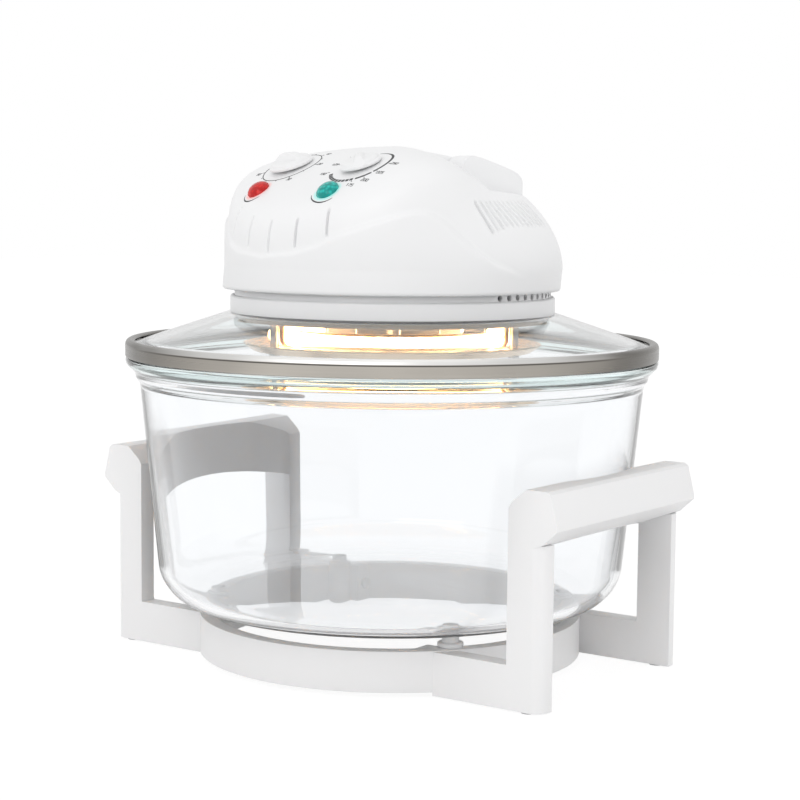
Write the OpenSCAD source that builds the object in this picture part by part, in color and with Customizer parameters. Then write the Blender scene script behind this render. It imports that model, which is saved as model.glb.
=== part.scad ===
// Halogen oven: glass bowl in a carrying stand, glass lid with a heater and fan head.
// Millimetres. Origin at the bottom centre of the stand, +Z up, the two carry brackets along X.

/* [Stand] */
// How far the stand ring stands out past the bowl's flat base
ring_out = 12.5; // [8:0.5:18]
// Wall of the stand ring
ring_wall = 9; // [6:0.5:12]
// Height of the stand ring
ring_h = 24.5; // [18:0.5:32]
// Gap under the stand ring
ring_lift = 3; // [2:0.5:8]
// How far the outer faces of the posts stand in from the bowl's rim
post_in = 3; // [0:0.5:4]
// Width of the stand over its posts
stand_w = 162; // [130:1:180]
// Depth of a post, along the stand
post_depth = 23.5; // [16:0.5:28]
// Width of a post, across the stand
post_w = 12; // [9:0.5:18]
// Corner radius on the outer edge of a post
post_round = 8; // [3:0.5:10]
// Height of the arms that join the posts to the ring
arm_h = 26; // [18:0.5:32]
// Height of the carry rail above the floor
rail_top = 128.5; // [118:0.5:140]
// Height of the rail on its inner side
rail_h = 39.5; // [28:0.5:46]
// How far the rail's finger lip stands out past the posts
lip_out = 9; // [4:0.5:14]
// Height of the foot pads below the brackets
foot_lift = 1; // [0.5:0.5:3]
// Height of the studs that carry the bowl
stud_h = 7; // [5:0.5:12]

/* [Bowl] */
// Height of the glass bowl
bowl_h = 156.5; // [130:0.5:180]
// How far the top of the bowl's wall is in from its rim
wall_in = 6.1; // [5:0.1:6.8]
// Radius of the bowl's lower corner
bowl_corner = 27; // [18:0.5:32]
// Wall of the glass bowl
bowl_wall = 5; // [3:0.5:7]
// Slope of the bowl wall in degrees from upright
bowl_slope = 6.67; // [3:0.1:7]
// Radius of the bowl's flanged rim
rim_r = 168; // [150:0.5:190]

/* [Lid] */
// Wall of the glass lid
lid_wall = 4; // [3:0.5:5]
// Rise of the glass lid from its rim seat to its crown
lid_rise = 28; // [22:0.5:34]
// Height of the steel rim band
band_h = 11; // [9:0.5:14]
// Radius of the collar on the glass crown
collar_r = 102.5; // [99:0.5:105]
// Height of the collar
collar_h = 10.5; // [8:0.5:14]
// Height of the neck that shows between collar and head
neck_gap = 4.2; // [3:0.1:7]
// Turn of the whole lid about the bowl's axis, in degrees
lid_turn = -12; // [-30:1:30]
// Diameter of the vent holes in the neck
vent_d = 3.8; // [2.5:0.1:4]
// Angle between two vent holes
vent_step = 4.5; // [4:0.5:9]

/* [Head] */
// Radius of the head's skirt
head_r = 106; // [104.5:0.5:110]
// Radius of the head's shoulder
side_r = 104.9; // [102:0.1:108]
// Height of the skirt under the dome
skirt_h = 14; // [10:0.5:20]
// Rise of the head above its skirt
dome_h = 75.8; // [70:0.1:82]
// Tilt of the control panel from level, in degrees
panel_tilt = 29.2; // [25:0.1:34]
// Distance of the control panel from the middle of the skirt's top
panel_reach = 82.1; // [79:0.1:86]
// Wall of the head cover
head_wall = 2.6; // [2:0.1:3.4]
// Sideways distance of the knobs and lamps from the middle
control_x = 33; // [28:0.5:36]
// Depth of the knob axes in front of the middle
knob_y = 55.5; // [52:0.5:60]
// Lean of the knob axes from upright, in degrees
knob_tilt = 22; // [18:0.5:26]
// Depth of the lamps in front of the middle
lamp_y = 82; // [78:0.5:84]
// Lean of the lamp axes from upright, in degrees
lamp_tilt = 39; // [32:0.5:44]
// Radius of the pilot lamp lenses
lamp_r = 7.3; // [5:0.1:9]
// Radius of the thermostat knob's skirt
thermo_r = 13; // [11:0.5:16]
// Radius of the timer knob's skirt
timer_r = 14; // [11:0.5:16]
// Height of the timer knob over its ridge
timer_h = 8; // [6.5:0.5:12]
// Height of the thermostat knob over its ridge
thermo_h = 6.5; // [6:0.5:12]

/* [Handle] */
// Width over the arms of the carrying handle
handle_w = 110; // [96:1:120]
// Width of one handle arm
handle_arm = 14; // [11:0.5:18]
// Distance from the handle's pivot back to its rear face
handle_reach = 46; // [40:0.5:50]
// Depth of the grip bar
grip_depth = 18; // [14:0.5:22]
// Radius of the handle's pivot boss
pivot_r = 10.5; // [8:0.1:11]
// Diameter of the handle's pivot pins
pin_d = 5; // [3:0.5:7]

/* [Heater and fan] */
// Radius of the halogen tube's ring
tube_ring_r = 74; // [60:0.5:76]
// Radius of the halogen tube
tube_r = 5; // [4:0.5:6]
// Radius of the guard plate's rim
guard_r = 94; // [90:0.5:98]
// Radius of the convection fan
fan_r = 46; // [35:0.5:56]
// Radius of the cooling fan
cooler_r = 41; // [30:0.5:42]
// Diameter of the motor shaft
shaft_d = 6; // [5:0.5:8]
// Height of the motor stack
stack_h = 20; // [14:1:26]
// Radius of the motor's rotor core
rotor_r = 14.5; // [12:0.5:16]

/* [Hidden] */
$fn = 72;
run_fit = 0.05;      // radial clearance of a running fit
gap = 0.3;           // clearance between parts that move apart
screw_d = 4;
head_d = 7.5;
head_t = 2.4;

half_w = stand_w / 2;
half_len = rim_r - post_in;
ring_top = ring_lift + ring_h;
bowl_z = ring_top + stud_h;
seat_z = bowl_z + bowl_h;
flange_z = seat_z - 4;
shoulder_z = seat_z - 10;

// The bowl's section: a flat base, a shallow sweep, a round corner and a sloping wall.
base_sweep = 12;     // degrees of the shallow sweep beside the flat base
base_sweep_r = 84;
corner_z = bowl_z + base_sweep_r * (1 - cos(base_sweep)) + bowl_corner * cos(base_sweep);
wall_z = corner_z - bowl_corner * sin(bowl_slope);
wall_r = rim_r - wall_in - (shoulder_z - wall_z) * tan(bowl_slope);
corner_r = wall_r - bowl_corner * cos(bowl_slope);
bowl_base_r = corner_r - (base_sweep_r - bowl_corner) * sin(base_sweep);
ring_r = bowl_base_r + ring_out;

arm_top = foot_lift + arm_h;
rail_bottom = rail_top - rail_h;
stud_r = ring_r - 10;
stud_in = 11;         // studs nearer the middle line than the arms' screws
stud_angle = asin((half_w - post_w / 2 - stud_in) / stud_r);

crown_z = seat_z + lid_rise;
base_floor = 3;
neck_r = collar_r - 2.7;
neck_wall = 2.8;
hole_r = collar_r - 12.5;
seal_wall = 2.5;
seal_foot = 0.8;
pan_z = crown_z - lid_wall - seal_foot;
pan_t = 1;
pan_lip = 3;
head_z = crown_z + collar_h + neck_gap;
dome_z = head_z + skirt_h;
rear_r = 107.2;
round_power = 11.4;
dome_power = 1.85;
blend_from = 45;
blend_to = 100;

shelf_h = 62.3;      // height of the handle's shelf above the head's foot
shelf_fall = 0.065;
shelf_front = 8;     // where the shelf meets the pocket's front wall
wall_lean = 12 / 28; // lean of that wall
pivot_y = 16.5;
pivot_z = head_z + 72.6;
island_w = handle_w - 2 * handle_arm - 2 * gap;
handle_back = pivot_y + handle_reach;
plunger_y = handle_back - grip_depth / 2;
plunger_x = handle_w / 2 - handle_arm / 2;
plunger_travel = 2;

tube_z = pan_z - 12.5;
tube_gap = 26;       // degrees of the tube's ring left open for its ends
guard_z = pan_z - 22;
guard_t = 1;
guard_lip = 5.2;
post_r = tube_ring_r + tube_r + 5.5;
post_angles = [110, 230, 350];
post_d = 5.4;
floor_top = crown_z + base_floor;
leg_h = 18;
bridge_z = floor_top + leg_h;
bridge_t = 2;
stack_z = bridge_z + bridge_t + 1;
bridge2_z = stack_z + stack_h + 1;
leg_at = 34;
bearing_r = 7;
bearing_h = 6;
cover_screw_r = 82;
sink = head_t + 1.6;  // depth of a cover screw's counterbore
cover_screw_angles = [40, 140, 220, 320];
gland_h = 16;
gland_r = 7;
bush_d = 8;
knob_shaft_d = 6;
knob_lift = 1;       // gap between a knob and the panel
bezel_t = head_wall + 3;
lamp_body_r = lamp_r - 1.2;
lamp_sink = 1.8;
plunger_d = 6;
switch_z = head_z + 44;
vent_slots = 13;
vent_from = 77;
vent_pitch = 2.75;
slot_w = 1.6;
slot_low = 38;
slot_rise = 17;

white = [0.95, 0.95, 0.95];
steel = [0.78, 0.78, 0.77];
glass = [0.80, 0.90, 0.90, 0.5];

function arc(c, r, a0, a1, n) = [for (i = [0:n])
    let (a = a0 + (a1 - a0) * i / n) [c[0] + r * cos(a), c[1] + r * sin(a)]];

module lid_frame() rotate([0, 0, lid_turn]) children();

module tube_ring(outer, inner, h) {
    difference() {
        cylinder(r = outer, h = h);
        translate([0, 0, -1]) cylinder(r = inner, h = h + 2);
    }
}

// A round-headed screw with its head's underside at the origin and its shank along -Z.
module screw(length) {
    cylinder(d = head_d, h = head_t);
    translate([0, 0, -length]) cylinder(d = screw_d, h = length + 0.1);
}

// Stand

module at_arms() for (turn = [0, 180], sy = [-1, 1])
    rotate([0, 0, turn]) translate([0, sy * (half_w - post_w / 2), 0]) children();

screw_z = ring_lift + ring_h / 2;
boss_x = sqrt(pow(ring_r - ring_wall, 2) - pow(half_w - post_w / 2, 2)) - 6;

module at_studs() for (a = [stud_angle, 180 - stud_angle, 180 + stud_angle, -stud_angle])
    rotate([0, 0, a]) translate([stud_r, 0, 0]) children();

module stand_ring() color(white) difference() {
    translate([0, 0, ring_lift]) linear_extrude(ring_h) difference() {
        circle(r = ring_r);
        difference() {
            circle(r = ring_r - ring_wall);
            at_studs() circle(r = 7.8);
            at_arms() translate([boss_x, -7]) square([ring_r, 14]);
        }
    }
    at_arms() translate([boss_x - 1, 0, screw_z]) rotate([0, 90, 0]) cylinder(d = screw_d + 0.4, h = ring_r);
    at_studs() translate([0, 0, ring_top - 6]) cylinder(d = 5, h = 7);
}

// One post and its arm in plan, drawn for the +X, +Y corner.
module post_plan(from_x) difference() {
    translate([from_x, half_w - post_w]) square([half_len - from_x, post_w]);
    difference() {
        translate([half_len - post_round, half_w - post_round]) square(post_round + 1);
        translate([half_len - post_round, half_w - post_round]) circle(r = post_round);
    }
}

module rail_section() polygon([
    [half_len - post_depth, rail_bottom], [half_len - 0.5, rail_bottom + 9],
    [half_len + lip_out, rail_bottom + 17.5], [half_len + lip_out, rail_bottom + 20],
    [half_len + lip_out - 4.5, rail_top - 1.5], [half_len + lip_out - 7, rail_top],
    [half_len - 12, rail_top], [half_len - post_depth + 2, rail_top - 8],
    [half_len - post_depth, rail_top - 11]]);

module bracket() difference() {
    union() {
        for (side = [0, 1]) mirror([0, side, 0]) {
            translate([0, 0, foot_lift]) linear_extrude(arm_h) post_plan(0);
            translate([0, 0, foot_lift]) linear_extrude(rail_bottom + 8 - foot_lift)
                post_plan(half_len - post_depth);
        }
        translate([0, half_w, 0]) rotate([90, 0, 0]) linear_extrude(stand_w) rail_section();
    }
    cylinder(r = ring_r, h = arm_top + 1);
    translate([0, 0, arm_top + 1]) cylinder(r = bowl_r(rail_top) + 2, h = rail_top);
    for (sy = [-1, 1]) {
        translate([0, sy * (half_w - post_w / 2), screw_z]) rotate([0, 90, 0])
            cylinder(d = screw_d, h = ring_r + 16);
        translate([half_len - post_depth / 2, sy * (half_w - post_w / 2), 0])
            cylinder(r = 3, h = foot_lift + 2);
    }
}

module bracket_right() color(white) bracket();
module bracket_left() color(white) rotate([0, 0, 180]) bracket();

module bracket_screws() color(steel) at_arms()
    translate([boss_x, 0, screw_z]) rotate([0, -90, 0]) screw(ring_r - boss_x + 8);

module bowl_studs() color(white) at_studs() {
    translate([0, 0, ring_top - 6]) cylinder(d = 5, h = 6.5);
    translate([0, 0, ring_top]) cylinder(r = 7.8, h = 3);
    translate([0, 0, ring_top + 3]) cylinder(r = 5, h = stud_h - 3);
}

module foot_pads() color("dimgray") for (sx = [-1, 1], sy = [-1, 1])
    translate([sx * (half_len - post_depth / 2), sy * (half_w - post_w / 2), 0]) {
        cylinder(r = 4.5, h = foot_lift);
        cylinder(r = 3, h = foot_lift + 2);
    }

// Bowl

corner_c = [corner_r, corner_z];
function bowl_r(z) = wall_r + (z - wall_z) * tan(bowl_slope);
lip_gap = 1.5;
mouth_r = rim_r - 7;

module glass_bowl() color(glass) rotate_extrude() polygon(concat(
    [[0, bowl_z]],
    arc([bowl_base_r, bowl_z + base_sweep_r], base_sweep_r, -90, -90 + base_sweep, 5),
    arc(corner_c, bowl_corner, -90 + base_sweep, -bowl_slope, 12),
    [[bowl_r(shoulder_z), shoulder_z], [rim_r, flange_z], [rim_r, seat_z], [mouth_r, seat_z],
     [mouth_r, seat_z - 7], [bowl_r(shoulder_z) - bowl_wall, shoulder_z]],
    arc(corner_c, bowl_corner - bowl_wall, -bowl_slope, -90 + base_sweep, 12),
    arc([bowl_base_r, bowl_z + base_sweep_r], base_sweep_r - bowl_wall, -90 + base_sweep, -90, 5),
    [[0, bowl_z + bowl_wall]]));

// Lid

band_t = 1.2;
crown_r = collar_r + 1;
edge_z = seat_z + band_h - 2;
edge_in = rim_r - 8;
locate_r = mouth_r - lip_gap;

module lid_glass() color(glass) rotate_extrude() polygon([
    [hole_r, crown_z - lid_wall], [crown_r - 1, crown_z - lid_wall], [edge_in - 4, edge_z - lid_wall + 0.6],
    [locate_r - 4, seat_z - 3.5], [locate_r, seat_z - 3.5], [locate_r, seat_z + band_t],
    [rim_r - band_t, seat_z + band_t], [rim_r - band_t, edge_z], [edge_in, edge_z],
    [crown_r, crown_z], [hole_r, crown_z]]);

module rim_band() color(steel) rotate_extrude() polygon([
    [rim_r - 7.5, seat_z], [rim_r, seat_z], [rim_r, edge_z + 0.4], [rim_r - 0.6, edge_z + 1.4],
    [rim_r - 2.4, edge_z + 2], [rim_r - 4.6, edge_z + 1.6], [rim_r - 6, edge_z + 0.8], [rim_r - 6, edge_z],
    [rim_r - band_t, edge_z], [rim_r - band_t, seat_z + band_t], [rim_r - 7.5, seat_z + band_t]]);

module glass_seal() color("whitesmoke") rotate_extrude() polygon([
    [hole_r - seal_wall, pan_z], [hole_r + 7, pan_z], [hole_r + 7, pan_z + seal_foot],
    [hole_r, pan_z + seal_foot], [hole_r, crown_z], [hole_r - seal_wall, crown_z]]);

shaft_hole_r = 12;
vent_z = crown_z + collar_h + neck_gap / 2;
pan_screw_r = hole_r - 8;
pan_screw_angles = [75, 180, 285];
boss_h = 8;
neck_top = head_z + 6;

module at_angles(angles, r) for (a = angles) rotate([0, 0, a]) translate([0, -r, 0]) children();

module base_housing() color(white) lid_frame() difference() {
    union() {
        rotate_extrude() polygon([
            [shaft_hole_r, crown_z], [collar_r, crown_z], [collar_r, crown_z + collar_h - 1],
            [collar_r - 1, crown_z + collar_h], [neck_r, crown_z + collar_h], [neck_r, neck_top],
            [neck_r - neck_wall, neck_top], [neck_r - neck_wall, floor_top], [shaft_hole_r, floor_top]]);
        at_angles(cover_screw_angles, cover_screw_r) translate([0, 0, crown_z])
            cylinder(r = 6, h = boss_h + base_floor);
        at_angles(pan_screw_angles, pan_screw_r) translate([0, 0, pan_z]) cylinder(r = 4.5, h = 14);
    }
    for (a = [88:vent_step:272]) rotate([0, 0, a]) translate([0, -neck_r - 1, vent_z])
        rotate([-90, 0, 0]) cylinder(d = vent_d, h = neck_wall + 2);
    at_angles(cover_screw_angles, cover_screw_r) {
        translate([0, 0, crown_z - 1]) cylinder(d = screw_d, h = 20);
        translate([0, 0, crown_z - 1]) cylinder(d = head_d + 1, h = sink + 1);
    }
    at_angles(pan_screw_angles, pan_screw_r) translate([0, 0, pan_z - 1]) cylinder(d = screw_d, h = 13);
    for (sx = [-1, 1], sy = [-1, 1]) translate([sx * leg_at, sy * leg_at, crown_z - 1])
        cylinder(d = screw_d, h = base_floor + 2);
}

// Head form: a dome that is a full round-shouldered console in front and an ellipsoid behind.

function smooth(t) = let (c = min(1, max(0, t))) c * c * (3 - 2 * c);
function front_reach(h, py, pz, inset) = 1 / pow(
    pow(h / (side_r - inset), round_power)
    + pow(max(0, -sin(panel_tilt) * py + cos(panel_tilt) * pz) / (panel_reach - inset), round_power)
    + pow(pz / (dome_h - inset), round_power), 1 / round_power);
function pole_reach(inset) = front_reach(0, 0, 1, inset);
function rear_reach(h, pz, inset) = 1 / pow(
    pow(h / (rear_r - inset), dome_power) + pow(pz / pole_reach(inset), dome_power), 1 / dome_power);
function head_reach(a, e, inset) = let (w = smooth((abs(a) - blend_from) / (blend_to - blend_from)))
    (1 - w) * front_reach(cos(e), -cos(a) * cos(e), sin(e), inset) + w * rear_reach(cos(e), sin(e), inset);
function head_point(a, e, inset) = let (r = head_reach(a, e, inset))
    [r * sin(a) * cos(e), -r * cos(a) * cos(e), dome_z + r * sin(e)];

// The form as a closed surface: a foot ring, then rings at rising elevations up to the pole.
module head_form(inset, around, up) {
    foot = head_z - (inset > 0 ? 1 : 0);
    pts = concat(
        [[0, 0, foot]],
        [for (i = [0:around - 1]) let (a = -180 + 360 * i / around)
            [(head_r - inset) * sin(a), -(head_r - inset) * cos(a), foot]],
        [for (j = [0:up - 1], i = [0:around - 1])
            head_point(-180 + 360 * i / around, 88 * pow(j / up, 0.9), inset)],
        [[0, 0, dome_z + pole_reach(inset)]]);
    last = len(pts) - 1;
    faces = concat(
        [for (i = [0:around - 1]) [0, 1 + i, 1 + (i + 1) % around]],
        [for (j = [0:up - 1], i = [0:around - 1]) let (b = 1 + j * around, n = (i + 1) % around)
            [b + i, b + around + i, b + n]],
        [for (j = [0:up - 1], i = [0:around - 1]) let (b = 1 + j * around, n = (i + 1) % around)
            [b + around + i, b + around + n, b + n]],
        [for (i = [0:around - 1]) [1 + up * around + i, last, 1 + up * around + (i + 1) % around]]);
    polyhedron(pts, faces);
}

// The pocket for the folded handle, grown by g on its floor and its front wall.
module pocket(g) {
    floor_at = head_z + shelf_h - g;
    front_at = shelf_front - g * 1.1;
    translate([-150, 0, 0]) rotate([90, 0, 90]) linear_extrude(300) polygon([
        [front_at, floor_at], [150, floor_at - shelf_fall * (150 - shelf_front)], [150, head_z + 150],
        [front_at - wall_lean * (head_z + 150 - floor_at), head_z + 150]]);
}

// The block between the handle's arms, which carries the pins.
module island(g) {
    w = island_w / 2 - g;
    back = handle_back - grip_depth - gap - g;
    low = head_z + shelf_h - 12;
    translate([-w, 0, 0]) rotate([90, 0, 90]) linear_extrude(2 * w) polygon(concat(
        [[shelf_front - 14, low], [back, low]],
        arc([back - 8, head_z + 71 - g], 8, 0, 70, 4),
        [[pivot_y + 8, head_z + 82.5 - g], [pivot_y - 8, head_z + 85.3 - g],
         [shelf_front - 14, head_z + 87 - g]]));
}

// Height of the head's skin over dome_z at x across and y in front, found by halving.
function skin_z(x, y, low, high, n) = let (z = (low + high) / 2, h = norm([x, y]))
    n == 0 ? z
    : norm([h, z]) < head_reach(atan2(x, y), atan2(z, h), 0) ? skin_z(x, y, z, high, n - 1)
    : skin_z(x, y, low, z, n - 1);

// Places a child on the skin at x across and y in front, with its +Z leaning forward.
module on_skin(x, y, tilt) translate([x, -y, dome_z + skin_z(x, y, 0, dome_h, 24)])
    rotate([tilt, 0, 0]) children();
module at_knob(side) on_skin(side * control_x, knob_y, knob_tilt) children();
module at_lamp(side) on_skin(side * control_x, lamp_y, lamp_tilt) children();

module head_shell() difference() {
    union() {
        difference() {
            head_form(0, 72, 20);
            pocket(0);
        }
        island(0);
    }
    difference() {
        head_form(head_wall, 36, 9);
        pocket(head_wall);
    }
    island(head_wall);
}

module head_cover() color(white) lid_frame() difference() {
    union() {
        head_shell();
        at_angles(cover_screw_angles, cover_screw_r) translate([0, 0, floor_top + boss_h])
            cylinder(r = 5, h = 20);
        for (a = cover_screw_angles) let (end = (cos(a) > 0 ? side_r : rear_r) - 1) rotate([0, 0, a])
            translate([-1.2, -end, neck_top + 0.6]) cube([2.4, end - cover_screw_r - 2, 9]);
        for (sx = [-1, 1]) translate([sx * (island_w / 2 - 1), pivot_y, pivot_z])
            rotate([0, -sx * 90, 0]) cylinder(r = pin_d, h = 8);
        translate([-plunger_x, plunger_y, head_z + 50]) cylinder(r = 5.5, h = 8);
        for (sx = [-1, 1]) translate([-plunger_x + sx * 10, plunger_y, switch_z]) cylinder(r = 3, h = 15);
    }
    at_angles(cover_screw_angles, cover_screw_r) translate([0, 0, floor_top + boss_h - 1])
        cylinder(d = screw_d, h = 14);
    for (sx = [-1, 1]) {
        at_knob(sx) translate([0, 0, -20]) cylinder(d = bush_d, h = 40);
        at_lamp(sx) {
            translate([0, 0, -20]) cylinder(r = lamp_body_r, h = 40);
            translate([0, 0, -lamp_sink]) cylinder(r = lamp_r, h = 20);
        }
        for (k = [0:vent_slots - 1]) rotate([0, 0, sx * (vent_from + vent_pitch * k)])
            translate([-slot_w / 2, -120, head_z + slot_low]) cube([slot_w, 40, slot_rise]);
    }
    translate([-80, pivot_y, pivot_z]) rotate([0, 90, 0]) cylinder(d = pin_d, h = 160);
    translate([-plunger_x, plunger_y, head_z + 40]) cylinder(d = plunger_d + 2 * run_fit, h = 60);
    translate([0, head_r + 5, head_z + gland_h]) rotate([90, 0, 0]) cylinder(r = gland_r, h = 14);
}

module cover_screws() color(steel) lid_frame() at_angles(cover_screw_angles, cover_screw_r)
    translate([0, 0, crown_z + sink]) mirror([0, 0, 1]) screw(16);

// Heater

cap_r = tube_r + 2;
tube_end_angles = [180 - tube_gap / 2, 180 + tube_gap / 2];
clip_w = 5;
clip_t = 0.8;
clip_fit = 0.1;      // radial clearance of a clip round the tube
post_bolt_d = 3;

module reflector_pan() color(steel) lid_frame() difference() {
    rotate_extrude() polygon([
        [shaft_d / 2 + 3, pan_z - pan_t], [hole_r + 5, pan_z - pan_t], [hole_r + 7, pan_z - pan_lip],
        [hole_r + 8, pan_z - pan_lip], [hole_r + 6, pan_z], [shaft_d / 2 + 3, pan_z]]);
    at_angles(pan_screw_angles, pan_screw_r) translate([0, 0, pan_z - 2]) cylinder(d = screw_d, h = 4);
    at_angles(post_angles, post_r) translate([0, 0, pan_z - 2]) cylinder(d = post_bolt_d, h = 4);
    at_angles(tube_end_angles, tube_ring_r) translate([0, 0, pan_z - 2]) cylinder(r = cap_r, h = 4);
}

module pan_screws() color(steel) lid_frame() at_angles(pan_screw_angles, pan_screw_r)
    translate([0, 0, pan_z - pan_t]) mirror([0, 0, 1]) screw(12);

module halogen_tube() color([1, 0.93, 0.75]) lid_frame() {
    rotate([0, 0, 90 + tube_gap / 2]) rotate_extrude(angle = 360 - tube_gap)
        translate([tube_ring_r, tube_z]) circle(r = tube_r);
    at_angles(tube_end_angles, tube_ring_r) translate([0, 0, tube_z]) {
        sphere(r = tube_r);
        cylinder(r = tube_r, h = pan_z - 4 - tube_z);
    }
}

module tube_end_caps() color("ivory") lid_frame() at_angles(tube_end_angles, tube_ring_r)
    translate([0, 0, pan_z - 4]) cylinder(r = cap_r, h = crown_z - pan_z + 4);

module tube_clips() color([0.85, 0.55, 0.30]) lid_frame() for (a = post_angles) rotate([0, 0, a])
    translate([clip_w / 2, -tube_ring_r, 0]) rotate([90, 0, -90]) linear_extrude(clip_w) {
        difference() {
            translate([0, tube_z]) circle(r = tube_r + clip_fit + clip_t);
            translate([0, tube_z]) circle(r = tube_r + clip_fit);
            translate([-20, tube_z + 2.5]) square([40, 20]);
        }
        translate([tube_r + clip_fit, tube_z]) square([clip_t, pan_z - pan_t - tube_z]);
    }

module guard_plate() color(steel) lid_frame() difference() {
    rotate_extrude() polygon([
        [0, guard_z], [guard_r - 6, guard_z], [guard_r, guard_z + guard_lip - 1],
        [guard_r, guard_z + guard_lip],
        [guard_r - 6.4, guard_z + guard_t], [0, guard_z + guard_t]]);
    for (ring = [0:4]) let (count = 8 + 7 * ring) for (k = [0:count - 1])
        rotate([0, 0, 360 * k / count]) translate([16 + 13 * ring, 0, guard_z - 1]) cylinder(d = 6, h = 3);
    at_angles(post_angles, post_r) translate([0, 0, guard_z - 1]) cylinder(d = post_bolt_d, h = 3);
}

module guard_posts() color(steel) lid_frame() at_angles(post_angles, post_r) {
    translate([0, 0, guard_z + guard_t]) cylinder(d = post_d, h = pan_z - pan_t - guard_z - guard_t);
    translate([0, 0, guard_z - 4]) cylinder(d = post_bolt_d, h = pan_z - guard_z + 5);
    translate([0, 0, pan_z]) cylinder(d = post_d, h = 2);
}

module guard_nuts() color(steel) lid_frame() at_angles(post_angles, post_r)
    translate([0, 0, guard_z - 3]) difference() {
        cylinder(r = 3.4, h = 3, $fn = 6);
        translate([0, 0, -1]) cylinder(d = post_bolt_d, h = 5);
    }

// Motor and fans

coil_half = 17;
limb = 8;
stack_half = leg_at + 5;
stator_gap = 0.6;

module at_legs() for (sx = [-1, 1], sy = [-1, 1]) translate([sx * leg_at, sy * leg_at, 0]) children();

module motor_legs() color(steel) lid_frame() at_legs() translate([0, 0, floor_top]) difference() {
    cylinder(r = 3.6, h = leg_h);
    translate([0, 0, -1]) cylinder(d = screw_d, h = leg_h + 2);
}

module motor_screws() color(steel) lid_frame() at_legs() translate([0, 0, bridge2_z + bridge_t])
    screw(bridge2_z + bridge_t - floor_top + base_floor);

module bridge() difference() {
    translate([-stack_half, -stack_half, 0]) cube([2 * stack_half, 2 * stack_half, bridge_t]);
    translate([0, 0, -1]) cylinder(r = bearing_r, h = bridge_t + 2);
    at_legs() translate([0, 0, -1]) cylinder(d = screw_d, h = bridge_t + 2);
    for (sy = [-1, 1]) translate([0, sy * stack_half, -1]) cylinder(r = 24, h = bridge_t + 2);
}

module motor_bridge_lower() color(steel) lid_frame() translate([0, 0, bridge_z]) bridge();
module motor_bridge_upper() color(steel) lid_frame() translate([0, 0, bridge2_z]) bridge();

module motor_stator() color([0.45, 0.46, 0.48]) lid_frame() translate([0, 0, bridge_z + bridge_t])
    difference() {
        translate([-stack_half, -stack_half, 0])
            cube([2 * stack_half, 2 * stack_half, bridge2_z - bridge_z - bridge_t]);
        translate([0, 0, -1]) cylinder(r = rotor_r + stator_gap, h = stack_h + 6);
        translate([-coil_half - 2, limb - stack_half, -1]) cube([2 * coil_half + 4, 9, stack_h + 6]);
        at_legs() translate([0, 0, -1]) cylinder(d = screw_d, h = stack_h + 6);
    }

module motor_coil() color([0.80, 0.48, 0.22]) lid_frame() difference() {
    translate([-coil_half, -stack_half - 8, bridge_z + bridge_t - 6])
        cube([2 * coil_half, limb + 16, stack_h + 14]);
    translate([-coil_half - 1, -stack_half, bridge_z + bridge_t])
        cube([2 * coil_half + 2, limb, bridge2_z - bridge_z - bridge_t]);
}

module bearing() difference() {
    cylinder(r = bearing_r, h = bearing_h);
    translate([0, 0, -1]) cylinder(d = shaft_d + 2 * run_fit, h = bearing_h + 2);
}

module motor_bearings() color([0.72, 0.55, 0.32]) lid_frame() {
    translate([0, 0, bridge_z + bridge_t - bearing_h]) bearing();
    translate([0, 0, bridge2_z]) bearing();
}

shaft_low = guard_z + guard_t + 1;
shaft_top = bridge2_z + bearing_h + 3;
fan_z = guard_z + 7;
fan_h = 11;
cooler_z = floor_top + 2;
cooler_h = 8;

module rotor_shaft() color("silver") lid_frame() translate([0, 0, shaft_low])
    cylinder(d = shaft_d, h = shaft_top - shaft_low);

module rotor_core() color([0.50, 0.50, 0.52]) lid_frame() translate([0, 0, stack_z]) difference() {
    cylinder(r = rotor_r, h = stack_h);
    translate([0, 0, -1]) cylinder(d = shaft_d, h = stack_h + 2);
}

module fan(r, h, blades, hub_r) difference() {
    union() {
        cylinder(r = hub_r, h = h);
        cylinder(r = r, h = 1);
        for (k = [0:blades - 1]) rotate([0, 0, 360 * k / blades]) translate([hub_r - 1, -0.5, 0])
            cube([r - hub_r - 1, 1, h]);
    }
    translate([0, 0, -1]) cylinder(d = shaft_d, h = h + 2);
}

module convection_fan() color(steel) lid_frame() translate([0, 0, fan_z + fan_h])
    mirror([0, 0, 1]) fan(fan_r, fan_h, 10, 7);
module cooling_fan() color("gainsboro") lid_frame() translate([0, 0, cooler_z])
    fan(cooler_r, cooler_h, 12, 8);

module fan_nut() color(steel) lid_frame() translate([0, 0, fan_z - 3]) difference() {
    cylinder(r = 6, h = 3, $fn = 6);
    translate([0, 0, -1]) cylinder(d = shaft_d, h = 5);
}

// Controls

// A knob: a thin skirt, a low crown and a ridge whose flanks and ends slope, bored for its spindle.
ridge_half = 5.5;

module knob(r, h) difference() {
    union() {
        rotate_extrude() polygon([
            [0, 0], [r, 0], [r, 1.6], [r - 1.2, 2], [r - 1.8, 3.2], [r - 3.6, 3.9], [0, 4]]);
        intersection() {
            rotate([90, 0, 0]) linear_extrude(2 * r, center = true)
                polygon([[-ridge_half, 0], [ridge_half, 0], [1.7, h], [-1.7, h]]);
            rotate([90, 0, 90]) linear_extrude(4 * ridge_half, center = true) polygon([
                [1.6 - r, 0], [r - 1.6, 0], [r - 2.2, 3], [r * 0.4, h], [-r * 0.4, h], [2.2 - r, 3]]);
        }
    }
    translate([0, 0, -1]) cylinder(d = knob_shaft_d, h = h - 3);
}

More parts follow.
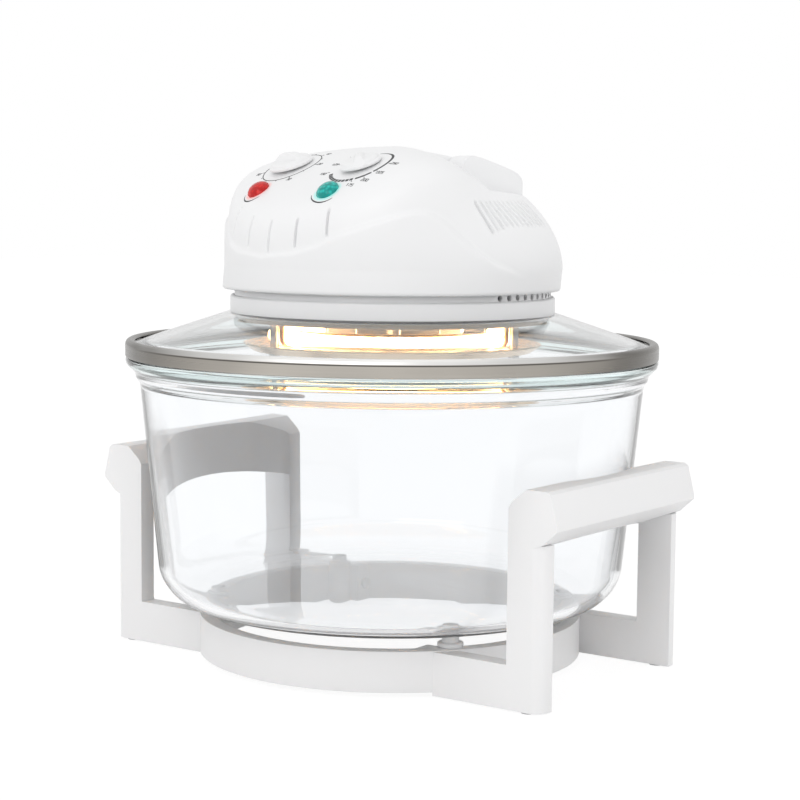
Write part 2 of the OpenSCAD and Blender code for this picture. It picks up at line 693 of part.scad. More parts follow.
module thermostat_knob() color(white) lid_frame() at_knob(1)
    translate([0, 0, knob_lift]) rotate([0, 0, 45]) knob(thermo_r, thermo_h);
module timer_knob() color(white) lid_frame() at_knob(-1)
    translate([0, 0, knob_lift]) rotate([0, 0, -80]) knob(timer_r, timer_h);

module spindle(h) translate([0, 0, -bezel_t - 3]) cylinder(d = knob_shaft_d, h = bezel_t + knob_lift + h - 1);
module thermostat_spindle() color("silver") lid_frame() at_knob(1) spindle(thermo_h);
module timer_spindle() color("silver") lid_frame() at_knob(-1) spindle(timer_h);

module spindle_bore() difference() {
    union() {
        children();
        translate([0, 0, -bezel_t]) cylinder(d = bush_d, h = bezel_t);
    }
    translate([0, 0, -bezel_t - 4]) cylinder(d = knob_shaft_d + 2 * run_fit, h = bezel_t + 5);
}

timer_half = 15.5;
timer_depth = 18;

module thermostat_body() color("gainsboro") lid_frame() at_knob(1) spindle_bore()
    translate([0, 0, -bezel_t - 16]) cylinder(r = 15, h = 16);

module timer_body() color([0.85, 0.80, 0.62]) lid_frame() at_knob(-1) spindle_bore()
    translate([-timer_half, -timer_half, -bezel_t - timer_depth])
        cube([2 * timer_half, 2 * timer_half, timer_depth]);

module timer_bell() color("silver") lid_frame() at_knob(-1)
    translate([0, 0, -bezel_t - timer_depth]) rotate_extrude() polygon([
        [0, 0], [4, 0], [4, -3], [13, -3], [13, -1], [14, -1], [14, -4], [12, -6], [0, -7]]);

neon_r = 2.6;
module lens() rotate_extrude() polygon([
    [neon_r, -10], [lamp_body_r, -10], [lamp_body_r, -lamp_sink], [lamp_r, -lamp_sink], [lamp_r, 0.6],
    [lamp_r - 0.8, 1.8], [lamp_r - 2.4, 3], [lamp_r - 4.6, 3.8], [0, 4.2], [0, 0], [neon_r, 0]]);

module red_lens() color([0.85, 0.10, 0.08]) lid_frame() at_lamp(-1) lens();
module green_lens() color([0.20, 0.75, 0.30]) lid_frame() at_lamp(1) lens();
module neon_lamps() color("mistyrose") lid_frame() for (sx = [-1, 1]) at_lamp(sx)
    translate([0, 0, -14]) cylinder(r = neon_r, h = 14);

// Handle and its switch

bail_under = head_z + shelf_h + gap;
plan_round = 5;

module bail_side() polygon(concat(
    arc([pivot_y, pivot_z], pivot_r, 90, 270, 16),
    [[handle_back, bail_under - shelf_fall * (handle_back - shelf_front)],
     [handle_back, head_z + 62], [handle_back - 1, head_z + 65.6], [handle_back - 3.6, head_z + 69.8],
     [handle_back - 7.5, head_z + 72.8], [handle_back - 12, head_z + 74.6], [handle_back - 23, head_z + 77.8],
     [handle_back - 38, head_z + 81.7]]));

module bail_plan() {
    w = handle_w / 2;
    difference() {
        union() {
            translate([-w, 0]) square([handle_w, handle_back - plan_round]);
            translate([-w + plan_round, 0]) square([handle_w - 2 * plan_round, handle_back]);
            for (sx = [-1, 1]) translate([sx * (w - plan_round), handle_back - plan_round])
                circle(r = plan_round);
        }
        translate([handle_arm - w, -1]) square([handle_w - 2 * handle_arm, handle_back - grip_depth + 1]);
    }
}

module carry_handle() color(white) lid_frame() difference() {
    intersection() {
        translate([-handle_w / 2 - 1, 0, 0]) rotate([90, 0, 90]) linear_extrude(handle_w + 2) bail_side();
        translate([0, 0, head_z + 50]) linear_extrude(50) bail_plan();
    }
    translate([-handle_w / 2 + 3, pivot_y, pivot_z]) rotate([0, 90, 0])
        cylinder(d = pin_d + 2 * run_fit, h = handle_w - 6);
    translate([-32, handle_back + 1, head_z + 57]) rotate([0, 90, 0]) cylinder(r = 9, h = 64);
}

module handle_pins() color("silver") lid_frame() for (sx = [-1, 1])
    translate([sx * (island_w / 2 - 9), pivot_y, pivot_z]) rotate([0, sx * 90, 0])
        cylinder(d = pin_d, h = handle_arm + 5);

module switch_plunger() color([0.75, 0.20, 0.15]) lid_frame()
    translate([-plunger_x, plunger_y, switch_z + gap])
        cylinder(d = plunger_d, h = shelf_h - shelf_fall * (plunger_y - shelf_front) - 44 - gap);

module safety_switch() color("dimgray") lid_frame() translate([-plunger_x, plunger_y, switch_z - 16])
    translate([-14, -5.2, 0]) cube([28, 10.4, 16]);

// Wiring

cutout_at = [60, 18];
block_y = 62;
wire_r = 1.2;

module thermal_cutout() color("silver") lid_frame() translate([cutout_at[0], cutout_at[1], floor_top]) {
    cylinder(r = 8, h = 5);
    for (sy = [-1, 1]) translate([-2, sy * 5 - 0.4, 5]) cube([4, 0.8, 7]);
}

module terminal_block() color("ivory") lid_frame() difference() {
    translate([-18, block_y - 8, floor_top]) cube([36, 16, 12]);
    for (k = [-1:1]) translate([k * 11, block_y, floor_top + 4]) cylinder(d = 4, h = 10);
}

module inlet_gland() color("dimgray") lid_frame() translate([0, 0, head_z + gland_h])
    rotate([-90, 0, 0]) rotate_extrude() polygon([
        [3.6, 97], [gland_r, 97], [gland_r, rear_r], [9.5, rear_r], [9.5, rear_r + 2], [6, rear_r + 5],
        [3.6, rear_r + 5]]);

// A round wire through a list of points.
module wire(points) for (i = [1:len(points) - 1]) let (a = points[i - 1], d = points[i] - a) translate(a) {
    rotate([0, acos(d[2] / norm(d)), atan2(d[1], d[0])]) cylinder(r = wire_r, h = norm(d));
    if (i > 1) sphere(r = wire_r + 0.1);
}

module lead_wires() color([0.72, 0.16, 0.12]) lid_frame() {
    top = floor_top + 15;
    wire([[11, block_y, floor_top + 4], [11, block_y, top], [cutout_at[0], cutout_at[1] + 6.6, top],
        [cutout_at[0], cutout_at[1] + 6.6, floor_top + 8]]);
    wire([[-11, block_y, floor_top + 4], [-11, block_y, top], [4 - plunger_x, plunger_y, top],
        [4 - plunger_x, plunger_y, switch_z - 16]]);
}

stand_ring();
bracket_left();
bracket_right();
bracket_screws();
bowl_studs();
foot_pads();
glass_bowl();
lid_glass();
rim_band();
glass_seal();
base_housing();
head_cover();
cover_screws();
reflector_pan();
pan_screws();
halogen_tube();
tube_end_caps();
tube_clips();
guard_plate();
guard_posts();
guard_nuts();
motor_legs();
motor_bridge_lower();
motor_stator();
motor_coil();
motor_bridge_upper();
motor_bearings();
motor_screws();
rotor_shaft();
rotor_core();
cooling_fan();
convection_fan();
fan_nut();
thermostat_body();
thermostat_spindle();
thermostat_knob();
timer_body();
timer_spindle();
timer_bell();
timer_knob();
red_lens();
green_lens();
neon_lamps();
carry_handle();
handle_pins();
safety_switch();
switch_plunger();
thermal_cutout();
terminal_block();
inlet_gland();
lead_wires();
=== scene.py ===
# %% [markdown]
# # A halogen oven, dressed in Blender
# The CAD model gives every part's place. This lesson loads it as a fixed frame, then builds the
# surfaces that the eye reads first: the moulded head, the glass, the steel rim and the carrying stand.
# Lengths of the oven are in millimetres, and MM turns them into Blender's metres.

# %% Load the frame
import bmesh
import bpy
import numpy as np
from mathutils import Matrix, Vector


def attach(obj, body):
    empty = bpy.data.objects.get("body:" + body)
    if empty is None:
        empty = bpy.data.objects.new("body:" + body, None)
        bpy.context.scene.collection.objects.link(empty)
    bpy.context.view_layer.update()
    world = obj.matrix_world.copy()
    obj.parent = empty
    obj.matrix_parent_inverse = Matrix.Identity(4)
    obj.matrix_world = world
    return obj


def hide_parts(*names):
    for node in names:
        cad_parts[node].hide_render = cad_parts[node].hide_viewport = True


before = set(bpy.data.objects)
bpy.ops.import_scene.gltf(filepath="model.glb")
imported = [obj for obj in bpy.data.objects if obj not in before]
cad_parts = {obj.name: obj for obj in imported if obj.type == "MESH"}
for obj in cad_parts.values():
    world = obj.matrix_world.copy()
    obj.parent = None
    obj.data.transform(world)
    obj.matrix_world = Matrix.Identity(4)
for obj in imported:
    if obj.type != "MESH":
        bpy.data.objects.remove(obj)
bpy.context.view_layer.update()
MM = 0.001

# %% [markdown]
# ## From an array to faces
# A Blender mesh is a list of points and a list of faces. It could be modelled by hand or grown with
# modifiers, but a formula over whole arrays gives the same surface every time. So a surface here is a grid
# of points, and joining its rows and columns gives quads. The signed volume then says whether the faces look
# outwards, and one flip puts them right. The lid stands turned by LID_TURN degrees on its bowl, and its
# pieces are turned last.

# %% Grids
LID_TURN = -12.0


def turned(points, degrees=LID_TURN):
    """Points turned about Z by t: (x cos t - y sin t, x sin t + y cos t, z)."""
    t = np.radians(degrees)
    out = np.array(points, float)
    x, y = out[..., 0].copy(), out[..., 1].copy()
    out[..., 0], out[..., 1] = x * np.cos(t) - y * np.sin(t), x * np.sin(t) + y * np.cos(t)
    return out


def grid_faces(nu, nv, wrap_u, wrap_v):
    """Quads between neighbouring rows and columns of an nu by nv grid."""
    rows, columns = np.arange(nu if wrap_u else nu - 1), np.arange(nv if wrap_v else nv - 1)
    i, j = [index.ravel() for index in np.meshgrid(rows, columns, indexing="ij")]
    a, b = (i + 1) % nu, (j + 1) % nv
    return np.stack([i * nv + j, a * nv + j, a * nv + b, i * nv + b], 1)


def signed_volume(points, faces):
    """Sum of the tetrahedra between the origin and each face's two triangles."""
    p = points[faces]
    return sum(np.einsum("ij,ij", p[:, 0], np.cross(p[:, k], p[:, k + 1])) for k in (1, 2)) / 6


def closed_arrays(points, wrap_u=True, wrap_v=True):
    """Points and outward quads of a closed grid."""
    nu, nv = points.shape[:2]
    flat, faces = points.reshape(-1, 3), grid_faces(nu, nv, wrap_u, wrap_v)
    return flat, faces[:, ::-1] if signed_volume(flat, faces) < 0 else faces


print("a wrapped grid of 4 by 3 points has", len(grid_faces(4, 3, True, True)), "faces")

# %% [markdown]
# ## From faces to an object
# Where a pole or a seam doubles a point, the doubles are merged. Smooth shading hides the quads, and edges
# over an angle are marked as sharp, so creases stay. Each object then rides on a body of the CAD, takes its
# material, and hides the CAD nodes that it stands for.

# %% Meshes
MERGE, COLLAPSE = 2e-6, 1e-7    # metres: points closer than this are one, edges shorter than this vanish


def new_object(name, mesh, body, material, replaces=()):
    """An object at the origin that rides on a body and stands for CAD nodes."""
    obj = bpy.data.objects.new(name, mesh)
    bpy.context.collection.objects.link(obj)
    mesh.materials.clear()
    mesh.materials.append(material)
    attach(obj, body)
    if replaces:
        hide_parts(*replaces)
    return obj


def finish_mesh(name, points, faces, smooth_angle=35.0):
    """Puts points in mm and quads into a mesh, merges doubles and marks edges over an angle as sharp."""
    mesh = bpy.data.meshes.new(name)
    mesh.from_pydata((points * MM).tolist(), [], faces.tolist())
    bm = bmesh.new()
    bm.from_mesh(mesh)
    bmesh.ops.remove_doubles(bm, verts=bm.verts, dist=MERGE)
    bmesh.ops.dissolve_degenerate(bm, edges=bm.edges, dist=COLLAPSE)
    bm.to_mesh(mesh)
    bm.free()
    mesh.shade_smooth()
    mesh.set_sharp_from_angle(angle=np.radians(smooth_angle))
    return mesh


def closed_grid(name, points, wrap_u=True, wrap_v=True, smooth_angle=35.0):
    """A closed surface from a grid of points, faces outwards."""
    return finish_mesh(name, *closed_arrays(points, wrap_u, wrap_v), smooth_angle)


print("points merge within", MERGE / MM, "mm")

# %% [markdown]
# ## Shader maths as Python
# A material in Blender is a tree of nodes. It could be wired by hand, but its maths reads best as an
# expression. One small class wraps a socket, and its operators add the Math nodes. Any other node comes from
# one function that takes a type, its settings and its inputs.

# %% Numbers and nodes
def plug(tree, port, value):
    """Links a Sock to a port, or sets the port's value. A colour of three numbers gets an alpha of one."""
    if isinstance(value, Sock):
        tree.links.new(value.socket, port)
    elif isinstance(value, tuple) and len(value) == 3 and port.type == "RGBA":
        port.default_value = (*value, 1.0)
    else:
        port.default_value = value


class Sock:
    """A number that a node gives, with Python's operators."""

    def __init__(self, tree, socket):
        self.tree, self.socket = tree, socket

    def math(self, operation, *others):
        """This number and others, through a Math node."""
        node = self.tree.nodes.new("ShaderNodeMath")
        node.operation = operation
        for port, value in zip(node.inputs, (self,) + others):
            plug(self.tree, port, value)
        return Sock(self.tree, node.outputs[0])

    def __add__(self, o): return self.math("ADD", o)
    def __mul__(self, o): return self.math("MULTIPLY", o)
    def __sub__(self, o): return self.math("SUBTRACT", o)
    def __truediv__(self, o): return self.math("DIVIDE", o)
    def __rsub__(self, o): return (self * -1.0) + o
    __radd__, __rmul__ = __add__, __mul__

    def above(self, edge, soft):
        """0 below edge - soft, 1 above edge + soft, straight between."""
        return ((self - (edge - soft)) / (2 * soft)).clip()

    def below(self, edge, soft): return 1.0 - self.above(edge, soft)
    def band(self, low, high, soft): return self.above(low, soft) * self.below(high, soft)
    def clip(self): return self.math("ADD", 0.0).clamped()

    def clamped(self):
        """The same number, kept between 0 and 1 by its own node."""
        self.socket.node.use_clamp = True
        return self


def add_node(tree, kind, out=0, settings=None, **ports):
    """A new node's output. An input is given by its name, with _ for a space, or as i and its number."""
    made = tree.nodes.new(kind)
    for key, value in (settings or {}).items():
        setattr(made, key, value)
    for key, value in ports.items():
        numbered = key[0] == "i" and key[1:].isdigit()
        plug(tree, made.inputs[int(key[1:]) if numbered else key.replace("_", " ")], value)
    return Sock(tree, made.outputs[out])


print("moves of a Sock:", [name for name in vars(Sock) if name[0] != "_"])

# %% [markdown]
# Nearly every surface of the oven is one Principled BSDF. A second class holds it, sets its inputs by name
# and gives short names to the nodes that are used most.

# %% A material
class Paint:
    """A material and the few moves used on it."""

    def __init__(self, name, **base):
        self.material = bpy.data.materials.new(name)
        self.material.use_nodes = True
        self.tree = self.material.node_tree
        self.bsdf = self.tree.nodes["Principled BSDF"]
        self.set(**base)
        self.where = self.node("ShaderNodeTexCoord", out="Object")

    def set(self, **values):
        """Sets inputs of the Principled BSDF by name, with _ for a space."""
        for key, value in values.items():
            plug(self.tree, self.bsdf.inputs[key.replace("_", " ")], value)

    def node(self, kind, **given):
        """A node in this material."""
        return add_node(self.tree, kind, **given)

    def noise(self, scale, detail=3.0, rough=0.55, where=None):
        """Noise with about scale lumps to the metre."""
        return self.node("ShaderNodeTexNoise", Vector=where or self.where, Scale=scale, Detail=detail,
                         Roughness=rough)

    def mix(self, factor, a, b):
        """Colour a where factor is 0, b where it is 1."""
        return self.node("ShaderNodeMix", out=2, settings={"data_type": "RGBA"}, i0=factor, i6=a, i7=b)

    def xyz(self):
        """The three Object coordinates, in metres."""
        split = self.node("ShaderNodeSeparateXYZ", Vector=self.where).socket.node
        return [Sock(self.tree, split.outputs[k]) for k in range(3)]

    def bump(self, height, strength, distance):
        """A normal bent by a height. Distance is in metres."""
        return self.node("ShaderNodeBump", Strength=strength, Distance=distance, Height=height)


print("moves of a Paint:", [name for name in vars(Paint) if name[0] != "_"])

# %% [markdown]
# ## Camera
# The camera stands where the photographer's stood: low, a long lens away, over the right front corner. It
# could be placed by eye. This one was fitted to the ellipses of the rim, the band and the stand's ring, so
# every other piece can be compared with the photograph place by place.

# %% Camera
def aim_camera():
    """Places the camera and gives its directions to the right and away, both level."""
    turn, pitch, roll = np.radians(36.0), 0.10155, 0.0093
    aside, distance, height = 5.2, 1250.0, 290.0
    lens, sensor = 88.84, 36.0
    right = np.array([np.cos(turn), np.sin(turn), 0.0])
    away = np.array([-np.sin(turn), np.cos(turn), 0.0])
    forward = away * np.cos(pitch) - np.array([0, 0, np.sin(pitch)])
    up = away * np.sin(pitch) + np.array([0, 0, np.cos(pitch)])
    side, top = right * np.cos(roll) + up * np.sin(roll), up * np.cos(roll) - right * np.sin(roll)
    place = right * aside - away * distance + np.array([0, 0, height])
    camera = bpy.data.objects.new("camera", bpy.data.cameras.new("camera"))
    bpy.context.collection.objects.link(camera)
    camera.data.lens, camera.data.sensor_width, camera.data.sensor_fit = lens, sensor, "HORIZONTAL"
    basis = np.eye(4)
    basis[:3, 0], basis[:3, 1], basis[:3, 2], basis[:3, 3] = side, top, -forward, place * MM
    camera.matrix_world = Matrix(basis.tolist())
    bpy.context.scene.camera = camera
    return right, away


CAM_RIGHT, CAM_AWAY = aim_camera()
scene = bpy.context.scene
scene.view_settings.view_transform = "Standard"
print("camera at", np.round(np.array(scene.camera.location) / MM, 1))

# %% [markdown]
# ## A white room
# The photograph is a studio picture, white on white, with soft light from all sides. Lamps and paper could
# give that, but a white world gives the same light with little noise. Seen directly or through glass, it is
# plain white. In a shine it is a little duller, so steel and plastic keep some tone. As a light it is weaker
# overhead, so that level surfaces don't burn out. Light has to find its way out of thick glass again, so it
# may bounce more often than Blender's default.

# %% World
BOUNCES = 24


def ray_kinds(tree):
    """1 for a ray from the camera or through glass, and 1 for a ray from a shiny surface."""
    rays = add_node(tree, "ShaderNodeLightPath").socket.node.outputs
    return (Sock(tree, rays["Is Camera Ray"]) + Sock(tree, rays["Is Transmission Ray"]),
            Sock(tree, rays["Is Glossy Ray"]))


def white_world(ambient, fall=0.28, dull=0.1):
    """White where it is seen, and 1 - dull in shine. As a light it is ambient * (1.1 - fall * height)."""
    world = bpy.data.worlds.new("white_room")
    scene.world = world
    world.use_nodes = True
    tree = world.node_tree
    seen, shine = ray_kinds(tree)
    sky = add_node(tree, "ShaderNodeTexCoord", out="Generated")
    light = (1.1 - add_node(tree, "ShaderNodeSeparateXYZ", out="Z", Vector=sky) * fall) * ambient
    shown = (seen + shine).clamped()
    back = tree.nodes["Background"].inputs
    plug(tree, back["Color"], (1.0, 1.0, 1.0))
    plug(tree, back["Strength"], (1.0 - shown) * light + shown * (1.0 - dull * shine))


white_world(0.99)
scene.cycles.max_bounces = scene.cycles.transmission_bounces = BOUNCES
print("world:", scene.world.name)

# %% [markdown]
# ## The floor
# The oven stands on white paper, of which only a faint shadow at the feet can be seen. A shadow catcher
# needs a second layer, so this floor is a mix. Where it is seen, most of its white is its own glow, and the
# rest is paper that takes the shadow. To soft light it is paper alone.

# %% Floor
FLOOR_HALF, FLOOR_GLOW, GLOW_SHARE = 6.0, 1.07, 0.86


def white_floor():
    """A flat sheet that keeps a faint shadow."""
    mesh = bpy.data.meshes.new("floor")
    corners = [(x * FLOOR_HALF, y * FLOOR_HALF, 0) for x, y in ((-1, -1), (1, -1), (1, 1), (-1, 1))]
    mesh.from_pydata(corners, [], [(0, 1, 2, 3)])
    floor = bpy.data.objects.new("floor", mesh)
    bpy.context.collection.objects.link(floor)
    paint = Paint("floor_white", Base_Color=(0.9, 0.9, 0.9), Roughness=0.9)
    seen, shine = ray_kinds(paint.tree)
    paper = Sock(paint.tree, paint.bsdf.outputs[0])
    glow = paint.node("ShaderNodeEmission", Color=(1.0, 1.0, 1.0), Strength=FLOOR_GLOW)
    mixed = paint.node("ShaderNodeMixShader", i0=(seen + shine).clamped() * GLOW_SHARE, i1=paper, i2=glow)
    plug(paint.tree, paint.tree.nodes["Material Output"].inputs["Surface"], mixed)
    mesh.materials.append(paint.material)


white_floor()
print("the floor glows at", FLOOR_GLOW)

# %% [markdown]
# ## Three soft lamps
# A world alone gives flat light, and a small lamp gives hard shadows. A photographer takes soft boxes, which
# are large area lamps here. The main one stands in front, a little to the left, a weak one hangs overhead,
# and a weaker one stands low on the right, so a white moulding shows its form.

# %% Lamps
MIDDLE = Vector((0, 0, 0.18))    # metres: the point that the lamps look at


def soft_lamp(name, right, away, height, size, watts):
    """A square lamp that looks at the oven's middle. Its place and its size are in metres."""
    lamp = bpy.data.objects.new(name, bpy.data.lights.new(name, "AREA"))
    lamp.data.energy, lamp.data.size = watts, size
    lamp.location = CAM_RIGHT * right + CAM_AWAY * away + np.array([0, 0, height])
    lamp.rotation_euler = (MIDDLE - lamp.location).to_track_quat("-Z", "Y").to_euler()
    bpy.context.collection.objects.link(lamp)


soft_lamp("front_left", right=-0.7, away=-1.65, height=1.2, size=1.4, watts=6.2)
soft_lamp("top", right=0.1, away=0.3, height=2.0, size=1.6, watts=1.0)
soft_lamp("right_low", right=1.5, away=0.2, height=0.35, size=0.9, watts=0.5)
print("lamps:", [lamp.name for lamp in bpy.data.lights])

# %% [markdown]
# ## White moulded plastic
# The head, collar, stand and knobs are white moulded plastic with a soft gloss. Real mouldings are never
# one flat value: there is a faint flow mottle, and a fine surface texture that breaks up the shine. Both
# are noises, kept so weak that they only show close up. An image could hold them too, but noise in Object
# coordinates needs no unwrapping. The head has a material of its own, because a painted glow of the pilot
# lamps tints it round each lens. The coloured mouldings, rubber and ink share one recipe and differ in colour
# and roughness.

# %% Plastics
def shade(colour, factor):
    """A colour times a factor."""
    return tuple(c * factor for c in colour)


def white_plastic(name, colour=(0.87, 0.872, 0.878), rough=0.34, grain=0.05):
    """A white moulding. Grain is the strength of the fine bump."""
    paint = Paint(name, Specular_IOR_Level=0.5, IOR=1.5)
    mottle = paint.noise(9.0, 4.0)
    fine = paint.noise(420.0, 2.0, 0.6)
    paint.set(Base_Color=paint.mix(mottle.above(0.5, 0.25), shade(colour, 0.975), colour),
              Roughness=mottle * 0.08 + fine * 0.06 + (rough - 0.07),
              Normal=paint.bump(fine, grain, 0.0004))
    return paint


WHITE = white_plastic("white_moulding")
HEAD_WHITE = white_plastic("head_moulding")
STAND_WHITE = white_plastic("stand_moulding", (0.88, 0.878, 0.882), 0.42, 0.09)
KNOB_WHITE = white_plastic("knob_moulding", (0.85, 0.852, 0.856), 0.36, 0.0)


def dark_plastic(name, colour, rough):
    """A coloured moulding with a fine mottle."""
    paint = Paint(name)
    fine = paint.noise(300.0, 3.0)
    paint.set(Base_Color=paint.mix(fine, shade(colour, 0.8), shade(colour, 1.15)),
              Roughness=fine * 0.15 + rough, Normal=paint.bump(fine, 0.15, 0.0005))
    return paint


BLACK = dark_plastic("black_moulding", (0.045, 0.045, 0.05), 0.45)
BOARD = dark_plastic("buff_moulding", (0.62, 0.58, 0.47), 0.5)
RED_MOULD = dark_plastic("red_moulding", (0.55, 0.03, 0.02), 0.35)
RUBBER = dark_plastic("foot_rubber", (0.55, 0.55, 0.56), 0.7)
INK = dark_plastic("print_ink", (0.035, 0.037, 0.04), 0.5)
SILICONE = dark_plastic("silicone", (0.72, 0.72, 0.70), 0.6)
WIRE = dark_plastic("wire_sleeve", (0.50, 0.06, 0.05), 0.45)
print("mouldings:", [m.name for m in bpy.data.materials if m.name.endswith("_moulding")])

# %% [markdown]
# ## Metals
# The rim band is stainless steel brushed round the rim, so its lines follow the circle. Noise that is
# stretched along the angle gives them: the height and the radius pass through, and the angle hardly does.
# An anisotropic shader could do it as well, but noise also shows the single lines.
# The band also has a painted reflection in its colour: broad lighter and darker parts, half of them noise and
# half a wave that goes twice round the rim, lightest at the bearing LIGHT_BEARING, which faces the camera,
# and darkest at the sides. Its rolled upper edge has a painted highlight over a painted dark line. The
# reflector and the guard plate are of a warmer steel, with a weaker painted reflection, and the fasteners are
# zinc plated.

# %% Metals
# the painted reflection is lightest at LIGHT_BEARING, in radians; the second value is the colour of the
# painted highlight on the band's rolled edge
LIGHT_BEARING, PAINTED_HIGHLIGHT = -0.94, (0.97, 0.96, 0.94)


def brushed(name, colour, rough, lines=1.0, painted_dark=0.9, highlight_above=None):
    """Steel with fine lines that run round the Z axis, and a painted reflection whose dark parts are as low
    as painted_dark times its colour. Above the height highlight_above, in mm, a painted highlight, over a
    painted dark line."""
    paint = Paint(name, Metallic=1.0)
    x, y, z = paint.xyz()
    radius, turn, close = (x * x + y * y).math("SQRT"), y.math("ARCTAN2", x), 900.0 * lines
    stretched = paint.node("ShaderNodeCombineXYZ", X=radius * close, Y=turn * 1.5, Z=z * close)
    streak = paint.noise(1.0, 3.0, 0.6, stretched)
    # painted reflection: half a wave twice round the rim, lightest at LIGHT_BEARING, and half slow noise
    wave = ((turn - LIGHT_BEARING) * 2.0).math("COSINE") * 0.5 + 0.5
    wide = paint.noise(9.0, 2.0) * 0.5 + wave * 0.5
    fine = paint.mix(streak, shade(colour, 0.84), colour)
    # painted highlight on the rolled upper edge, and a painted dark line just under it
    if highlight_above:
        fine = paint.mix(z.above(highlight_above * MM, 0.2 * MM), fine, PAINTED_HIGHLIGHT)
        line = z.band((highlight_above - 1.0) * MM, (highlight_above - 0.2) * MM, 0.15 * MM)
        fine = paint.mix(line, fine, shade(colour, 0.2))
    # where the painted reflection is low, the colour is darkened to painted_dark times itself
    paint.set(Base_Color=paint.mix(wide.above(0.55, 0.2), shade(colour, painted_dark), fine),
              Roughness=streak * 0.14 + wide * 0.06 + (rough - 0.08), Normal=paint.bump(streak, 0.08, 0.0004))
    return paint


def plated(name, colour, rough, scale=60.0):
    """Plated or cast metal with a fine mottle."""
    paint = Paint(name, Metallic=1.0)
    mottle, fine = paint.noise(scale, 4.0), paint.noise(scale * 8, 2.0)
    paint.set(Base_Color=paint.mix(mottle, shade(colour, 0.85), colour),
              Roughness=mottle * 0.16 + (rough - 0.08), Normal=paint.bump(fine, 0.06, 0.0004))
    return paint


# the band: a strong painted reflection, and a painted highlight above 198.9 mm
BAND_STEEL = brushed("rim_steel", (0.56, 0.525, 0.475), 0.27, painted_dark=0.25, highlight_above=198.9)
PAN_STEEL = brushed("pan_steel", (0.80, 0.66, 0.50), 0.26, 0.4)
ZINC = plated("zinc_plate", (0.62, 0.62, 0.61), 0.36)
IRON = plated("stack_iron", (0.34, 0.35, 0.37), 0.5, 120.0)
BRONZE = plated("sintered_bronze", (0.62, 0.45, 0.26), 0.45, 200.0)
COPPER = plated("copper_wire", (0.76, 0.42, 0.24), 0.35, 150.0)
ALLOY = plated("fan_alloy", (0.74, 0.74, 0.75), 0.38)
print("brushed:", BAND_STEEL.material.name, PAN_STEEL.material.name)

# %% [markdown]
# ## Glass
# The bowl and the cover are thick clear pressed glass. Light crosses two skins of each wall, so a faint
# tint in the skin shows mostly where the eye looks along the wall, at the silhouette. The bowl's thick rim
# looks green, as edges of glass do. Absorption inside the glass would be truer, but a tinted skin gives
# nearly the same look and is quicker. A slow ripple in the surface stands for the pressing.

# %% Glass
EDGE_GREEN = (0.84, 0.945, 0.935)


def pressed_glass(name, tint, ripple, green_above=None):
    """Clear glass with a tint in its skin, and a greener one above the height green_above, in mm."""
    paint = Paint(name, Base_Color=tint, Transmission_Weight=1.0, IOR=1.47, Roughness=0.0)
    wave = paint.noise(14.0, 1.0, 0.4)
    paint.set(Normal=paint.bump(wave, ripple, 0.002))
    if green_above:
        height = paint.xyz()[2]
        paint.set(Base_Color=paint.mix(height.above(green_above * MM, 1.0 * MM), tint, EDGE_GREEN))
    return paint


BOWL_GLASS = pressed_glass("bowl_glass", (0.966, 0.975, 0.985), 0.03, green_above=184.5)
COVER_GLASS = pressed_glass("cover_glass", (0.972, 0.984, 0.988), 0.02)
QUARTZ = pressed_glass("quartz", (1.0, 0.97, 0.90), 0.0)
NEON = pressed_glass("neon_bulb", (1.0, 0.90, 0.85), 0.0)
print("the bowl's rim is tinted", EDGE_GREEN)

# %% [markdown]
# ## The head
# The head is one white moulding with no straight edge: a round-shouldered console in front, with its
# panel tilted towards the cook, melts into an ellipsoid behind. Sculpting could give such a form, but the
# CAD's solid is made from this formula, so solid and skin agree. Seen from a point on the axis, every point
# of the head lies in one direction only, so its skin is a radius over azimuth and elevation. The console is
# a superellipsoid cut by the panel, the back an ellipsoid, and the two are blended by azimuth from
# BLEND_FROM degrees on. HEAD_Z is the height of the head's foot, DOME_Z that of the form's centre.

# %% Head form
HEAD_Z, DOME_Z = 233.7, 247.7
SIDE_R, REAR_R, PANEL_REACH, DOME_H = 104.9, 107.2, 82.1, 75.8
PANEL_TILT, POWER, REAR_POWER = np.radians(29.2), 11.4, 1.85
BLEND_FROM, BLEND_WIDE = 45, 55


def ease(t):
    """From 0 to 1 along 3 t^2 - 2 t^3, and level outside."""
    t = np.clip(t, 0, 1)
    return t * t * (3 - 2 * t)


def least(a, b, k):
    """Smooth minimum: minus k times the logarithm of exp(-a / k) + exp(-b / k)."""
    return -k * np.logaddexp(-a / k, -b / k)


def most(a, b, k):
    """Smooth maximum."""
    return -least(-a, -b, k)


def power_mean(power, *terms):
    """(sum of terms ^ power) ^ (-1 / power): the radius at which a superellipsoid's terms reach one."""
    return sum(term ** power for term in terms) ** (-1 / power)


def form_radius(az, el, inset=0.0):
    """Radius of the plain form at an azimuth from the front and an elevation, in radians. In front the powers
    of the shares of the side, the panel and the dome add up to one, behind those of the back and the pole."""
    ce, se, reach, dome = np.cos(el), np.sin(el), PANEL_REACH - inset, DOME_H - inset
    panel = np.maximum(0, np.sin(PANEL_TILT) * np.cos(az) * ce + np.cos(PANEL_TILT) * se)
    front = power_mean(POWER, ce / (SIDE_R - inset), panel / reach, se / dome)
    pole = power_mean(POWER, np.cos(PANEL_TILT) / reach, 1 / dome)
    rear = power_mean(REAR_POWER, ce / (REAR_R - inset), se / pole)
    w = ease((np.abs(np.degrees(az)) - BLEND_FROM) / BLEND_WIDE)
    return (1 - w) * front + w * rear


print("radius of the plain form at the front foot:", round(float(form_radius(0.0, 0.0)), 1), "mm")

